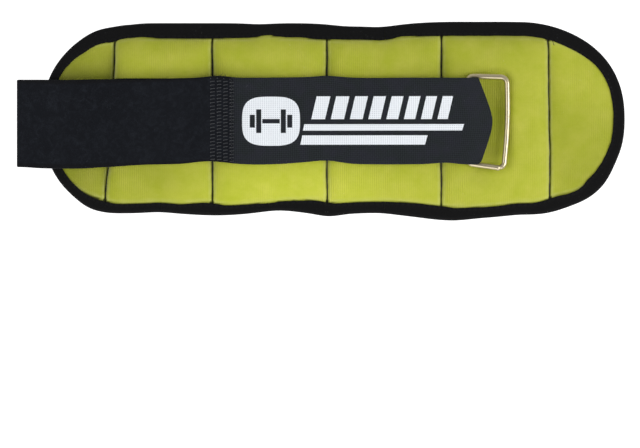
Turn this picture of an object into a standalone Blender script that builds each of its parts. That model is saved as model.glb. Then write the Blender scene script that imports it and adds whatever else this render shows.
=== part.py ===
"""Soft ankle cuff weight: four filled pockets between sewn seams, a bound edge, a closing strap and a metal ring.

Frame: X along the cuff, Y across it, Z up out of the face. Metres. The cuff lies flat, face up.
"""
import math

import bmesh
import bpy

for old in list(bpy.data.objects):
    bpy.data.objects.remove(old, do_unlink=True)

MM = 0.001

# ---- driving dimensions, millimetres ----
HALF_WIDTH = 57.6            # half of the cuff across Y
LEFT_END_X = -118.0          # centre of the elliptic left end
LEFT_END_A = 47.0            # its half axis along X
RIGHT_END_X = 128.0
RIGHT_END_A = 53.6

# each seam: x where it crosses the middle, and how far x shifts per unit of y
SEAMS = [(-126.6, 0.0513), (-64.8, 0.0), (3.9, 0.0), (72.4, 0.0), (137.2, -0.0077)]
SEAM_GAP = 0.35              # each panel stops this far short of the seam plane
SEAM_LAND = 2.1              # the filled part starts this far from the seam plane

GAP = 0.3                    # clearance between two pieces that touch
BACK_T = 2.0                 # back panel of a pocket
RIM_LOW = 1.3                # underside of a panel rim, over the binding's lower leg
RIM_T = 1.1                  # panel rim thickness
FACE_LOW = 2.7               # underside of the face panel where it is sewn down
FACE_T = 1.2                 # face panel thickness
DOME = 10.1                  # how far a filled pocket rises above its seams
DOME_POWER = 2.4
DOME_SHAPE = 0.8
DOME_INSET = 1.6             # the dome starts this far inside the binding

BIND_T = 1.0                 # binding tape thickness
BIND_LEG = 8.4               # how far the tape reaches in from the edge
BIND_H = 5.2                 # height of the bound edge

POUCH_T = 0.6
POUCH_INSET = 7.5
POUCH_LOW = BACK_T + GAP

STRAP_HALF = 24.8            # half width of the webbing
STRAP_T = 1.4
TAPE_T = 1.2
PAD_T = 0.7
STRAP_SKEW = -0.023          # the free strap lies a little askew at the left
TOP_RUN_LOW = 15.9           # underside of the free strap over the pockets

FOLD_PIVOT_X = -181.7        # outside of the folded strap
FOLD_R = 2.0
FOLD_LOW = BIND_H + GAP + STRAP_T / 2
FOLD_MID = FOLD_LOW + FOLD_R
FOLD_CX = FOLD_PIVOT_X + 0.1 + STRAP_T / 2 + FOLD_R

JOIN_LEFT = -67.2
JOIN_RIGHT = -53.0
JOIN_ROWS = [-64.8, -60.6, -57.6, -54.6]
TIP_X = 103.0
TIP_CORNER_X = 94.8
TIP_RISE_X = 10.0
TIP_RISE = 0.04

RING_X = 87.6                # the bar in the tab, which is the ring's hinge
RING_FAR = 112.5
RING_TOP_Y = 26.6
RING_LOW_Y = -29.3
WIRE = 1.5                   # wire radius
RING_CORNER = 4.6

THREAD = 0.35

MATERIALS = {
    "green_knit": ((0.38, 0.43, 0.06), 0.85, 0.0),
    "back_knit": ((0.02, 0.02, 0.022), 0.9, 0.0),
    "binding_tape": ((0.012, 0.012, 0.013), 0.85, 0.0),
    "pouch_cloth": ((0.16, 0.17, 0.18), 0.8, 0.0),
    "iron_shot": ((0.09, 0.09, 0.1), 0.6, 0.7),
    "loop_webbing": ((0.016, 0.017, 0.021), 0.8, 0.0),
    "hook_webbing": ((0.022, 0.026, 0.031), 0.75, 0.0),
    "thread": ((0.03, 0.03, 0.032), 0.7, 0.0),
    "nickel_wire": ((0.72, 0.7, 0.64), 0.2, 1.0),
}
SLOTS = {}


def slot(name):
    """The named material, made once."""
    if name not in SLOTS:
        colour, rough, metal = MATERIALS[name]
        mat = bpy.data.materials.new(name)
        mat.use_nodes = True
        shader = mat.node_tree.nodes["Principled BSDF"]
        shader.inputs["Base Color"].default_value = (*colour, 1.0)
        shader.inputs["Roughness"].default_value = rough
        shader.inputs["Metallic"].default_value = metal
        mat.diffuse_color = (*colour, 1.0)
        SLOTS[name] = mat
    return SLOTS[name]


def solid(name, verts, faces, material):
    """One named closed body from points in millimetres."""
    mesh = bpy.data.meshes.new(name)
    mesh.from_pydata([(x * MM, y * MM, z * MM) for x, y, z in verts], [], faces)
    mesh.update()
    bm = bmesh.new()
    bm.from_mesh(mesh)
    bmesh.ops.recalc_face_normals(bm, faces=bm.faces)
    bm.to_mesh(mesh)
    bm.free()
    mesh.materials.append(slot(material))
    obj = bpy.data.objects.new(name, mesh)
    bpy.context.scene.collection.objects.link(obj)
    return obj


def seam_x(i, y):
    x0, slope = SEAMS[i]
    return x0 + slope * y


def edge_y(x):
    """Half width of the cuff at x."""
    if x < LEFT_END_X:
        t = (LEFT_END_X - x) / LEFT_END_A
    elif x > RIGHT_END_X:
        t = (x - RIGHT_END_X) / RIGHT_END_A
    else:
        return HALF_WIDTH
    return HALF_WIDTH * math.sqrt(max(0.0, 1.0 - t * t))


def bump(t):
    """1 in the middle (t = 0), 0 at both ends (t = -1 and 1), with a full, flat top."""
    t = min(1.0, abs(t))
    return (1.0 - t ** DOME_POWER) ** DOME_SHAPE


def pocket_span(i, y, inset):
    """The two x limits of pocket i (between seams i and i + 1) at y."""
    return seam_x(i, y) + inset, seam_x(i + 1, y) - inset


def face_top(i, x, y):
    """Height of the outer face of pocket i."""
    left, right = pocket_span(i, y, SEAM_LAND)
    reach = edge_y(x) - BIND_LEG - DOME_INSET
    across = bump(2.0 * (x - left) / (right - left) - 1.0)
    return FACE_LOW + FACE_T + DOME * across * bump(y / reach)


def spaced(n, ease):
    """n + 1 values from 0 to 1, closer together at both ends by ease (0 to 1)."""
    out = []
    for k in range(n + 1):
        t = k / n
        out.append((1 - ease) * t + ease * 0.5 * (1 - math.cos(math.pi * t)))
    return out


def slab(name, rows, low, high, material):
    """A sheet between the heights low(x, y) and high(x, y) over a grid of (x, y) rows."""
    nv = len(rows)
    nu = len(rows[0])
    verts = []
    for height in (high, low):
        for row in rows:
            for x, y in row:
                verts.append((x, y, height(x, y)))
    count = nu * nv
    faces = []
    for j in range(nv - 1):
        for i in range(nu - 1):
            a = j * nu + i
            faces.append((a, a + 1, a + nu + 1, a + nu))
            faces.append((count + a, count + a + nu, count + a + nu + 1, count + a + 1))
    rim = [i for i in range(nu)]
    rim += [j * nu + nu - 1 for j in range(1, nv)]
    rim += [(nv - 1) * nu + i for i in range(nu - 2, -1, -1)]
    rim += [j * nu for j in range(nv - 2, 0, -1)]
    for k in range(len(rim)):
        a = rim[k]
        b = rim[(k + 1) % len(rim)]
        faces.append((a, count + a, count + b, b))
    return solid(name, verts, faces, material)


def prism(name, outline, low, high, material):
    """A flat plate with the plan outline, from low to high."""
    n = len(outline)
    verts = [(x, y, low) for x, y in outline] + [(x, y, high) for x, y in outline]
    faces = [tuple(range(n)), tuple(range(n, 2 * n))]
    for k in range(n):
        m = (k + 1) % n
        faces.append((k, m, n + m, n + k))
    return solid(name, verts, faces, material)


def tube(name, path, radius, sides, material, closed=False):
    """A round wire or thread along a path of points; its section stays upright."""
    n = len(path)
    verts = []
    for k in range(n):
        before = path[(k - 1) % n] if closed or k > 0 else path[k]
        after = path[(k + 1) % n] if closed or k < n - 1 else path[k]
        dx, dy, dz = (after[c] - before[c] for c in range(3))
        length = math.sqrt(dx * dx + dy * dy + dz * dz)
        dx, dy, dz = dx / length, dy / length, dz / length
        flat = math.hypot(dx, dy)
        side = (-dy / flat, dx / flat, 0.0)
        up = (side[1] * dz, -side[0] * dz, side[0] * dy - side[1] * dx)
        for s in range(sides):
            a = 2 * math.pi * (s + 0.5) / sides
            ca, sa = math.cos(a) * radius, math.sin(a) * radius
            verts.append(tuple(path[k][c] + side[c] * ca + up[c] * sa for c in range(3)))
    faces = []
    for k in range(n if closed else n - 1):
        a = k * sides
        b = ((k + 1) % n) * sides
        for s in range(sides):
            t = (s + 1) % sides
            faces.append((a + s, a + t, b + t, b + s))
    if not closed:
        faces.append(tuple(range(sides)))
        faces.append(tuple(range((n - 1) * sides, n * sides)))
    return solid(name, verts, faces, material)


def ribbon(name, path, thick, material, low_y, high_y, columns=1, end_x=None):
    """A flat band along a path of (x, z) points, between y = low_y(x) and high_y(x).

    end_x(y), if given, is how far the last third of the band is pulled back at that y.
    """
    n = len(path)
    upper, lower = [], []
    for k in range(n):
        x0, z0 = path[max(0, k - 1)]
        x1, z1 = path[min(n - 1, k + 1)]
        length = math.hypot(x1 - x0, z1 - z0)
        nx, nz = -(z1 - z0) / length, (x1 - x0) / length
        x, z = path[k]
        upper.append((x + nx * thick / 2, z + nz * thick / 2))
        lower.append((x - nx * thick / 2, z - nz * thick / 2))
    verts = []
    for side in (upper, lower):
        for k in range(n):
            x, z = side[k]
            for c in range(columns + 1):
                y = low_y(x) + (high_y(x) - low_y(x)) * c / columns
                back = 0.0
                if end_x is not None:
                    share = max(0.0, (k - (n - 1) * 2 / 3) / ((n - 1) / 3))
                    back = end_x(y) * share
                verts.append((x - back, y, z))
    width = columns + 1
    count = n * width
    faces = []
    for k in range(n - 1):
        for c in range(columns):
            a = k * width + c
            faces.append((a, a + 1, a + width + 1, a + width))
            faces.append((count + a, count + a + width, count + a + width + 1, count + a + 1))
        for c in (0, columns):
            a = k * width + c
            faces.append((a, a + width, count + a + width, count + a))
    for k in (0, n - 1):
        for c in range(columns):
            a = k * width + c
            faces.append((a, a + 1, count + a + 1, count + a))
    return solid(name, verts, faces, material)


def pocket_rows(i, inset, y_levels, nu, ease, land=0.0):
    """Grid rows of pocket i at the given y values, each from seam to seam less the inset.

    With a land, a flat strip that wide is kept along each seam.
    """
    rows = []
    for y in y_levels:
        left, right = pocket_span(i, y, inset + land)
        row = [(left + (right - left) * u, y) for u in spaced(nu, ease)]
        if land > 0.0:
            row = [(left - land, y)] + row + [(right + land, y)]
        rows.append(row)
    return rows


def follow_edge(rows, amount):
    """The same rows with their outermost y kept the amount inside the cuff's edge."""
    out = []
    for row in rows:
        line = []
        for x, y in row:
            limit = edge_y(x) - amount
            scale = limit / (HALF_WIDTH - amount)
            line.append((x, y * scale))
        out.append(line)
    return out


# ---- pockets ----
RIM_Y = HALF_WIDTH - BIND_T - GAP
DOME_Y = HALF_WIDTH - BIND_LEG - DOME_INSET


def make_pocket(i):
    number = i + 1
    inner = [DOME_Y * (2 * t - 1) for t in spaced(10, 0.7)]
    levels = [-RIM_Y] + inner + [RIM_Y]
    land = SEAM_LAND - SEAM_GAP
    rows = pocket_rows(i, SEAM_GAP, levels, 9, 0.6, land)
    rows = follow_edge(rows, BIND_T + GAP)
    slab(
        f"face_panel_pocket_{number}",
        rows,
        lambda x, y: face_top(i, x, y) - FACE_T,
        lambda x, y: face_top(i, x, y),
        "green_knit",
    )

    step = HALF_WIDTH - BIND_LEG - 0.6
    levels = [-RIM_Y, -step - 0.4, -step, 0.0, step, step + 0.4, RIM_Y]
    rows = follow_edge(pocket_rows(i, SEAM_GAP, levels, 3, 0.0), BIND_T + GAP)

    def inside(x, y):
        return abs(y) < (step + 0.2) * (edge_y(x) - BIND_T - GAP) / RIM_Y

    slab(
        f"back_panel_pocket_{number}",
        rows,
        lambda x, y: 0.0 if inside(x, y) else RIM_LOW,
        lambda x, y: BACK_T if inside(x, y) else RIM_LOW + RIM_T,
        "back_knit",
    )

    make_pouch(i, number)


def pouch_loop(i, y, inset, shrink):
    """The section of a pouch or its fill across pocket i at y: a flat bottom and a domed top."""
    left, right = pocket_span(i, y, POUCH_INSET + inset)
    n = 10
    loop = []
    for u in spaced(n, 0.3):
        x = left + (right - left) * u
        loop.append((x, y, POUCH_LOW + shrink))
    for u in reversed(spaced(n, 0.3)):
        x = left + (right - left) * u
        top = face_top(i, x, y) - FACE_T - 0.5 - shrink
        loop.append((x, y, top))
    return loop


def ring_faces(start_a, start_b, n):
    return [
        (start_a + k, start_a + (k + 1) % n, start_b + (k + 1) % n, start_b + k)
        for k in range(n)
    ]


def cap_faces(start, n):
    """Quads that close one loop from pouch_loop: its bottom points against its top points."""
    half = n // 2
    return [
        (start + k, start + k + 1, start + n - 2 - k, start + n - 1 - k)
        for k in range(half - 1)
    ]


def make_pouch(i, number):
    """An inner cloth pouch, open at its upper mouth, and the shot in it."""
    far = DOME_Y - 8.5
    stations = [far * (2 * t - 1) for t in spaced(8, 0.4)]
    verts = []
    for y in stations:
        verts += pouch_loop(i, y, 0.0, 0.0)
    n = len(verts) // len(stations)
    outer_count = len(verts)
    inner_stations = [y + POUCH_T if k == 0 else y for k, y in enumerate(stations)]
    for y in inner_stations:
        verts += pouch_loop(i, y, POUCH_T, POUCH_T)
    faces = []
    for k in range(len(stations) - 1):
        faces += ring_faces(k * n, (k + 1) * n, n)
        faces += ring_faces(outer_count + k * n, outer_count + (k + 1) * n, n)
    faces += cap_faces(0, n)
    faces += cap_faces(outer_count, n)
    faces += ring_faces((len(stations) - 1) * n, outer_count + (len(stations) - 1) * n, n)
    solid(f"inner_pouch_{number}", verts, faces, "pouch_cloth")

    fill = [
        (far - 2.5) * (2 * t - 1) for t in spaced(6, 0.3)
    ]
    verts = []
    for y in fill:
        verts += pouch_loop(i, y, POUCH_T + GAP, POUCH_T + GAP)
    faces = cap_faces(0, n) + cap_faces((len(fill) - 1) * n, n)
    for k in range(len(fill) - 1):
        faces += ring_faces(k * n, (k + 1) * n, n)
    solid(f"shot_fill_{number}", verts, faces, "iron_shot")


# ---- end flaps ----
def end_arc(left, inset, count):
    """Plan points round one end, from the seam's upper end to its lower end."""
    i = 0 if left else 4
    side = -1.0 if left else 1.0
    cx = LEFT_END_X if left else RIGHT_END_X
    a = (LEFT_END_A if left else RIGHT_END_A) - inset
    b = HALF_WIDTH - inset

    def corner(sign):
        phi = math.pi / 2
        for _ in range(30):
            y = sign * b * math.sin(phi)
            limit = seam_x(i, y) + side * SEAM_GAP
            c = max(-1.0, min(1.0, (limit - cx) * side / a))
            phi = math.acos(c)
        return phi

    top, low = corner(1.0), corner(-1.0)
    out = []
    for k in range(count + 1):
        phi = top + (-low - top) * k / count
        out.append((cx + side * a * math.cos(phi), b * math.sin(phi)))
    return out


def make_flap(left):
    side = "left" if left else "right"
    outline = end_arc(left, BIND_T + GAP, 26)
    prism(f"face_panel_flap_{side}", outline, FACE_LOW, FACE_LOW + FACE_T, "green_knit")
    prism(f"back_panel_flap_{side}", outline, RIM_LOW, RIM_LOW + RIM_T, "back_knit")


# ---- binding ----
def bind(name, outer, inward):
    """A folded tape over the edge: a C section swept along the outer points."""
    section = [
        (0.0, 0.0),
        (BIND_LEG, 0.0),
        (BIND_LEG, BIND_T),
        (BIND_T, BIND_T),
        (BIND_T, BIND_H - BIND_T),
        (BIND_LEG, BIND_H - BIND_T),
        (BIND_LEG, BIND_H),
        (0.0, BIND_H),
    ]
    verts = []
    for (x, y), (ix, iy) in zip(outer, inward):
        for reach, z in section:
            verts.append((x + ix * reach, y + iy * reach, z))
    n = len(section)
    faces = []
    for k in range(len(outer) - 1):
        faces += ring_faces(k * n, (k + 1) * n, n)
    last = (len(outer) - 1) * n
    for s in (0, last):
        faces.append((s, s + 1, s + 2, s + 3))
        faces.append((s, s + 3, s + 4, s + 7))
        faces.append((s + 4, s + 5, s + 6, s + 7))
    solid(name, verts, faces, "binding_tape")


def bind_flap(left):
    i = 0 if left else 4
    slope = SEAMS[i][1]
    cx = LEFT_END_X if left else RIGHT_END_X
    a = LEFT_END_A if left else RIGHT_END_A
    outer = end_arc(left, 0.0, 28)
    inward = []
    for k, (x, y) in enumerate(outer):
        nx, ny = (x - cx) / (a * a), y / (HALF_WIDTH * HALF_WIDTH)
        length = math.hypot(nx, ny)
        nx, ny = -nx / length, -ny / length
        if k in (0, len(outer) - 1):
            sign = -1.0 if y > 0 else 1.0
            nx, ny = sign * slope, sign
        inward.append((nx, ny))
    side = "left" if left else "right"
    bind(f"edge_binding_{side}_end", outer, inward)


def bind_pocket(i, upper):
    sign = 1.0 if upper else -1.0
    left = seam_x(i, sign * HALF_WIDTH) + SEAM_GAP
    right = seam_x(i + 1, sign * HALF_WIDTH) - SEAM_GAP
    outer, inward = [], []
    count = 8
    for k in range(count + 1):
        t = k / count
        x = left + (right - left) * t
        slope = SEAMS[i][1] * (1 - t) ** 3 + SEAMS[i + 1][1] * t ** 3
        outer.append((x, sign * edge_y(x)))
        inward.append((-sign * slope, -sign))
    where = "upper" if upper else "lower"
    bind(f"edge_binding_{where}_pocket_{i + 1}", outer, inward)


# ---- seam threads: one wavy lockstitch line just right of each seam ----
def seam_thread(i):
    end = edge_y(SEAMS[i][0]) - BIND_LEG - 1.8
    count = 44
    path = []
    for k in range(count + 1):
        y = -end + 2 * end * k / count
        wave = 0.12 if k % 2 else -0.05
        path.append((seam_x(i, y) + 0.95, y, FACE_LOW + FACE_T + GAP + THREAD + 0.1 + wave))
    tube(f"seam_thread_{i + 1}", path, THREAD, 4, "thread")


# ---- straps ----
def strap_low(x):
    skew = STRAP_SKEW * max(0.0, JOIN_LEFT - x)
    return skew - STRAP_HALF


def strap_high(x):
    skew = STRAP_SKEW * max(0.0, JOIN_LEFT - x)
    return skew + STRAP_HALF


def smooth(a, b, t):
    t = max(0.0, min(1.0, t))
    return a + (b - a) * t * t * (3 - 2 * t)


def face_strap(i):
    """The strap sewn along the face of pocket i; the tip's hooks grip it."""
    left = seam_x(i, 0.0) + 2.6
    right = seam_x(i + 1, 0.0) - 1.2
    rows = []
    for t in spaced(4, 0.3):
        y = STRAP_HALF * (2 * t - 1)
        slant_l = SEAMS[i][1] * y
        slant_r = SEAMS[i + 1][1] * y
        row = []
        for u in spaced(9, 0.6):
            x = (left + slant_l) * (1 - u) + (right + slant_r) * u
            row.append((x, y))
        rows.append(row)
    slab(
        f"face_strap_pocket_{i + 1}",
        rows,
        lambda x, y: face_top(i, x, y) + GAP,
        lambda x, y: face_top(i, x, y) + GAP + STRAP_T * 0.86,
        "loop_webbing",
    )


def face_strap_flap():
    """The strap along the left flap, out past its end and half way round the fold."""
    start = seam_x(0, -STRAP_HALF) - 1.2
    rest = FACE_LOW + FACE_T + GAP + STRAP_T / 2
    path = [(start, rest), (-140.0, rest), (-146.0, rest)]
    for k in range(1, 5):
        t = k / 4
        path.append((-146.0 - 5.0 * t, smooth(rest, FOLD_LOW, t)))
    path += [(-160.0, FOLD_LOW), (-170.0, FOLD_LOW), (FOLD_CX, FOLD_LOW)]
    for k in range(1, 6):
        a = math.radians(270 - 18 * k)
        x, z = FOLD_CX + FOLD_R * math.cos(a), FOLD_MID + FOLD_R * math.sin(a)
        if k == 5:
            z = FOLD_MID - 0.15
        path.append((x, z))
    path.reverse()
    ribbon("face_strap_flap_left", path, STRAP_T, "loop_webbing", strap_low, strap_high)


def free_strap():
    """The smooth strap from the fold, over the first pocket, to its sewn end."""
    path = []
    for k in range(5, -1, -1):
        a = math.radians(90 + 18 * k)
        x, z = FOLD_CX + FOLD_R * math.cos(a), FOLD_MID + FOLD_R * math.sin(a)
        if k == 5:
            z = FOLD_MID + 0.15
        path.append((x, z))
    level = FOLD_MID + FOLD_R
    plateau = TOP_RUN_LOW + STRAP_T / 2
    end = TOP_RUN_LOW + TAPE_T + GAP + STRAP_T / 2
    path += [(-170.0, level), (-158.0, level)]
    for k in range(0, 9):
        t = k / 8
        path.append((-148.0 + 36.0 * t, smooth(level, plateau, t)))
    path += [(-100.0, plateau), (-84.0, plateau)]
    for k in range(1, 5):
        t = k / 4
        path.append((-80.0 + 10.0 * t, smooth(plateau, end, t)))
    path.append((JOIN_RIGHT - GAP, end))
    ribbon("free_strap", path, STRAP_T, "loop_webbing", strap_low, strap_high)


def tip_height(x):
    """Centre height of the printed tip along its length."""
    base = TOP_RUN_LOW + TAPE_T / 2
    over_pad = TOP_RUN_LOW + PAD_T + GAP + TAPE_T / 2
    z = smooth(base, over_pad, (x + 50.5) / 9.0)
    return z + TIP_RISE * max(0.0, x - TIP_RISE_X)


def tip_pull(y):
    """How far the rounded end of the tip is pulled back at y."""
    sagitta = TIP_X - TIP_CORNER_X
    radius = (STRAP_HALF ** 2 + sagitta ** 2) / (2 * sagitta)
    return radius - math.sqrt(max(0.0, radius ** 2 - min(abs(y), STRAP_HALF) ** 2))


def flat_low(x):
    return -STRAP_HALF


def flat_high(x):
    return STRAP_HALF


def strap_tip():
    root = [(JOIN_LEFT + 0.4, tip_height(-67.0)), (-60.0, tip_height(-60.0))]
    root.append((JOIN_RIGHT - 0.15, tip_height(-54.0)))
    ribbon("tip_webbing_sewn_end", root, TAPE_T, "hook_webbing", flat_low, flat_high)

    xs = [JOIN_RIGHT + 0.15, -50.5, -48.0, -46.0, -43.5, -41.5, -30.0, -10.0, TIP_RISE_X]
    xs += [30.0, 50.0, 70.0, 78.0, 86.0, 94.0, TIP_X]
    path = [(x, tip_height(x)) for x in xs]
    ribbon("tip_webbing", path, TAPE_T, "hook_webbing", flat_low, flat_high, 8, tip_pull)

    xs = [-38.0, -20.0, -5.0, TIP_RISE_X, 40.0, 70.0, TIP_X - 12.0]
    path = [(x, tip_height(x) - TAPE_T / 2 - GAP - PAD_T / 2) for x in xs]
    ribbon(
        "hook_pad",
        path,
        PAD_T,
        "hook_webbing",
        lambda x: -STRAP_HALF + 2.0,
        lambda x: STRAP_HALF - 2.0,
    )


def join_stitches():
    top = TOP_RUN_LOW + TAPE_T + GAP + STRAP_T + GAP + 0.25
    for number, x in enumerate(JOIN_ROWS):
        count = 24
        path = []
        for k in range(count + 1):
            y = -STRAP_HALF + 1.4 + (2 * STRAP_HALF - 2.8) * k / count
            path.append((x + (0.75 if k % 2 else -0.75), y, top))
        tube(f"join_stitch_row_{number + 1}", path, 0.25, 4, "thread")


# ---- ring and its tab ----
RING_Z = face_top(3, RING_X, 0.0) + GAP + TAPE_T + GAP + WIRE


def make_ring():
    corners = [
        (RING_X, RING_LOW_Y),
        (RING_FAR - 0.7, RING_LOW_Y),
        (RING_FAR, RING_TOP_Y),
        (RING_X, RING_TOP_Y),
    ]
    angles = [180.0, 270.0, 0.0, 90.0]
    path = []
    for (cx, cy), start in zip(corners, angles):
        inner_x = cx + (RING_CORNER if cx < 100.0 else -RING_CORNER)
        inner_y = cy + (RING_CORNER if cy < 0.0 else -RING_CORNER)
        for k in range(5):
            a = math.radians(start + 22.5 * k)
            x = inner_x + RING_CORNER * math.cos(a)
            y = inner_y + RING_CORNER * math.sin(a)
            path.append((x, y, RING_Z))
    tube("ring", path, WIRE, 8, "nickel_wire", closed=True)


def make_tab():
    """A short loop of webbing: along the face, round the ring's bar and back."""
    loop = WIRE + GAP + TAPE_T / 2
    low = RING_Z - loop
    start = seam_x(3, 0.0)
    path = []
    for x in (start + 2.6, 77.0, 79.5, 82.0, 84.5):
        rest = face_top(3, x, 0.0) + GAP + TAPE_T / 2
        path.append((x, min(low, rest)))
    path.append((RING_X, low))
    for k in range(1, 8):
        a = math.radians(-90 + 180 * k / 8)
        path.append((RING_X + loop * math.cos(a), RING_Z + loop * math.sin(a)))
    path.append((RING_X, RING_Z + loop))
    for x in (84.0, 81.0, 78.0, 76.6):
        drop = smooth(RING_Z + loop, 0.0, 0.0)
        rest = face_top(3, x, 0.0) + GAP + TAPE_T * 1.5 + 0.35
        share = (RING_X - x) / (RING_X - 78.0)
        path.append((x, smooth(drop, max(rest, low + 0.6), share * 0.75)))
    ribbon(
        "ring_tab",
        path,
        TAPE_T,
        "loop_webbing",
        lambda x: -STRAP_HALF + 2.2,
        lambda x: STRAP_HALF - 3.2,
    )


def tab_stitches():
    """A line of thread across the tab, left of the ring's bar."""
    count = 20
    z = RING_Z + WIRE + GAP + TAPE_T + 0.45 - 1.4
    path = []
    for k in range(count + 1):
        y = -STRAP_HALF + 4.5 + (2 * STRAP_HALF - 10.0) * k / count
        path.append((80.0, y, z + (0.1 if k % 2 else 0.0)))
    tube("ring_tab_thread", path, 0.25, 4, "thread")


for pocket in range(4):
    make_pocket(pocket)
    bind_pocket(pocket, True)
    bind_pocket(pocket, False)
for flap in (True, False):
    make_flap(flap)
    bind_flap(flap)
for line in range(5):
    seam_thread(line)
for pocket in range(3):
    face_strap(pocket)
face_strap_flap()
free_strap()
strap_tip()
join_stitches()
make_ring()
make_tab()
tab_stitches()
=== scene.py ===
"""A soft ankle cuff weight: knit face, bound edge, closing strap with a printed tip, and a wire ring.

Lengths in the shape functions are millimetres; surface() turns them into metres.
X runs along the cuff, Y across it and Z up out of the face.
"""
import math

import bmesh
import bpy
import numpy as np
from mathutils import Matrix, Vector


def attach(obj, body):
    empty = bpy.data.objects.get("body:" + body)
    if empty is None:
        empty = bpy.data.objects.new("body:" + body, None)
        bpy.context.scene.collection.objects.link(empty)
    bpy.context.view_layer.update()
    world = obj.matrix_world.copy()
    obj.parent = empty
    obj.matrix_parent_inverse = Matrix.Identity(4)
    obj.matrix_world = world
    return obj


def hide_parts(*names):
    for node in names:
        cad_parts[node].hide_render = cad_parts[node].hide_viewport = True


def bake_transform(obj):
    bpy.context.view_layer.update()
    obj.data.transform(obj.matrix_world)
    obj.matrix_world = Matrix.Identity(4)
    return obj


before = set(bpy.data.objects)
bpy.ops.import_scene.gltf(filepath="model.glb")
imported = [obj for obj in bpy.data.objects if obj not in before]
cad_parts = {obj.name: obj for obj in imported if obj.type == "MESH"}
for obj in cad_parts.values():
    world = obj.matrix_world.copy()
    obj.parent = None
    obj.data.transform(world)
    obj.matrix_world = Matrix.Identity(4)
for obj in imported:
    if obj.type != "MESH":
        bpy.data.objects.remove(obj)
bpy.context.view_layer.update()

# ---- the cuff's plan: the seams, the centres and depths of the rounded ends, the ring's bar ----
SEAM_X = np.array([-125.6, -64.8, 3.9, 72.4, 136.9])
SEAM_SLANT = np.array([0.0613, 0.0, 0.0, 0.0, -0.015])
LEFT_X, LEFT_A = -118.0, 49.0
RIGHT_X, RIGHT_A = 120.0, 62.6
MIDS = (SEAM_X[:-1] + SEAM_X[1:]) / 2
RING_X, RING_Z = 87.6, 15.164
BEND_REACH = 3.2  # how far seam_points() reaches to each side of a seam
STITCH_PITCH = 3.1  # the seams' thread rises and dips once in this length

# how the sewn edges wander: (centre, width, height) of each soft swell along the cuff
UPPER_EDGE = 57.9
UPPER_SWELLS = [(27.2, 20, -3.16), (95.2, 30, 1.76), (-36.8, 10, -0.58), (-120.8, 10, -1.11),
                (25.2, 10, 1.05), (95.2, 20, -0.96)]
LOWER_EDGE = 56.37
LOWER_SWELLS = [(81.2, 30, 4.38), (-24.8, 14, -1.67), (5.2, 10, 1.74), (-62.8, 20, 1.24),
                (-96.8, 10, -0.73), (35.2, 10, -0.52), (93.2, 10, -0.53)]
UPPER_TAPE = 8.55
UPPER_TAPE_SWELLS = [(-76.8, 30, 0.66), (-32.8, 7, -1.78), (41.2, 20, -1.54), (37.2, 7, 1.18),
                     (-114.8, 10, -0.8), (-0.8, 7, 0.74)]
LOWER_TAPE = 5.5
LOWER_TAPE_SWELLS = [(63.2, 30, 2.76), (-0.8, 14, 2.81), (-68.8, 10, 1.88), (125.2, 20, 1.24),
                     (-30.8, 7, -0.79), (21.2, 10, 0.52)]


# ------------------------------------------------------------------ small helpers
def ease(t):
    """The smooth step 3t^2 - 2t^3 of t held between 0 and 1."""
    t = np.clip(t, 0.0, 1.0)
    return t * t * (3 - 2 * t)


def hump(x, centre, width):
    """A bell of height 1 at centre: exp(-((x - centre) / width)^2)."""
    return np.exp(-(((x - centre) / width) ** 2))


def ripple(x, seed):
    """A wavy line of sines whose wavelengths share no common measure; about -1 to 1."""
    a = np.sin(x * 0.83 + seed * 1.7) + 0.7 * np.sin(x * 1.47 + seed * 3.1)
    return (a + 0.6 * np.sin(x * 2.31 + seed * 5.3)) / 1.9


def surface(name, verts, faces, material, uv=None, marks=None):
    """A mesh from points in millimetres and quads: normals outwards, a UV and named marks per point."""
    verts = np.asarray(verts, float).reshape(-1, 3) * 0.001
    mesh = bpy.data.meshes.new(name)
    mesh.from_pydata(verts.tolist(), [], np.asarray(faces, dtype=object).tolist())
    mesh.update()
    if uv is not None:
        loops = np.zeros(len(mesh.loops), np.int32)
        mesh.loops.foreach_get("vertex_index", loops)
        layer = mesh.uv_layers.new(name="UVMap")
        layer.data.foreach_set("uv", np.asarray(uv, np.float32).reshape(-1, 2)[loops].ravel())
    bm = bmesh.new()
    bm.from_mesh(mesh)
    bmesh.ops.recalc_face_normals(bm, faces=bm.faces)
    bm.to_mesh(mesh)
    bm.free()
    mesh.polygons.foreach_set("use_smooth", np.full(len(mesh.polygons), True))
    mesh.set_sharp_from_angle(angle=0.95)
    for key, values in (marks or {}).items():
        layer = mesh.attributes.new(key, "FLOAT", "POINT")
        layer.data.foreach_set("value", np.ravel(values).astype(np.float32))
    obj = bpy.data.objects.new(name, mesh)
    bpy.context.scene.collection.objects.link(obj)
    mesh.materials.append(material)
    return obj


def grid_quads(nu, nv, start=0, wrap=False):
    """Quads of an nu by nv grid whose points run v fastest; wrap joins the last v to the first."""
    i, j = np.meshgrid(np.arange(nu - 1), np.arange(nv if wrap else nv - 1), indexing="ij")
    k = (j + 1) % nv
    quads = np.stack([i * nv + j, (i + 1) * nv + j, (i + 1) * nv + k, i * nv + k], -1)
    return quads.reshape(-1, 4) + start


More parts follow.
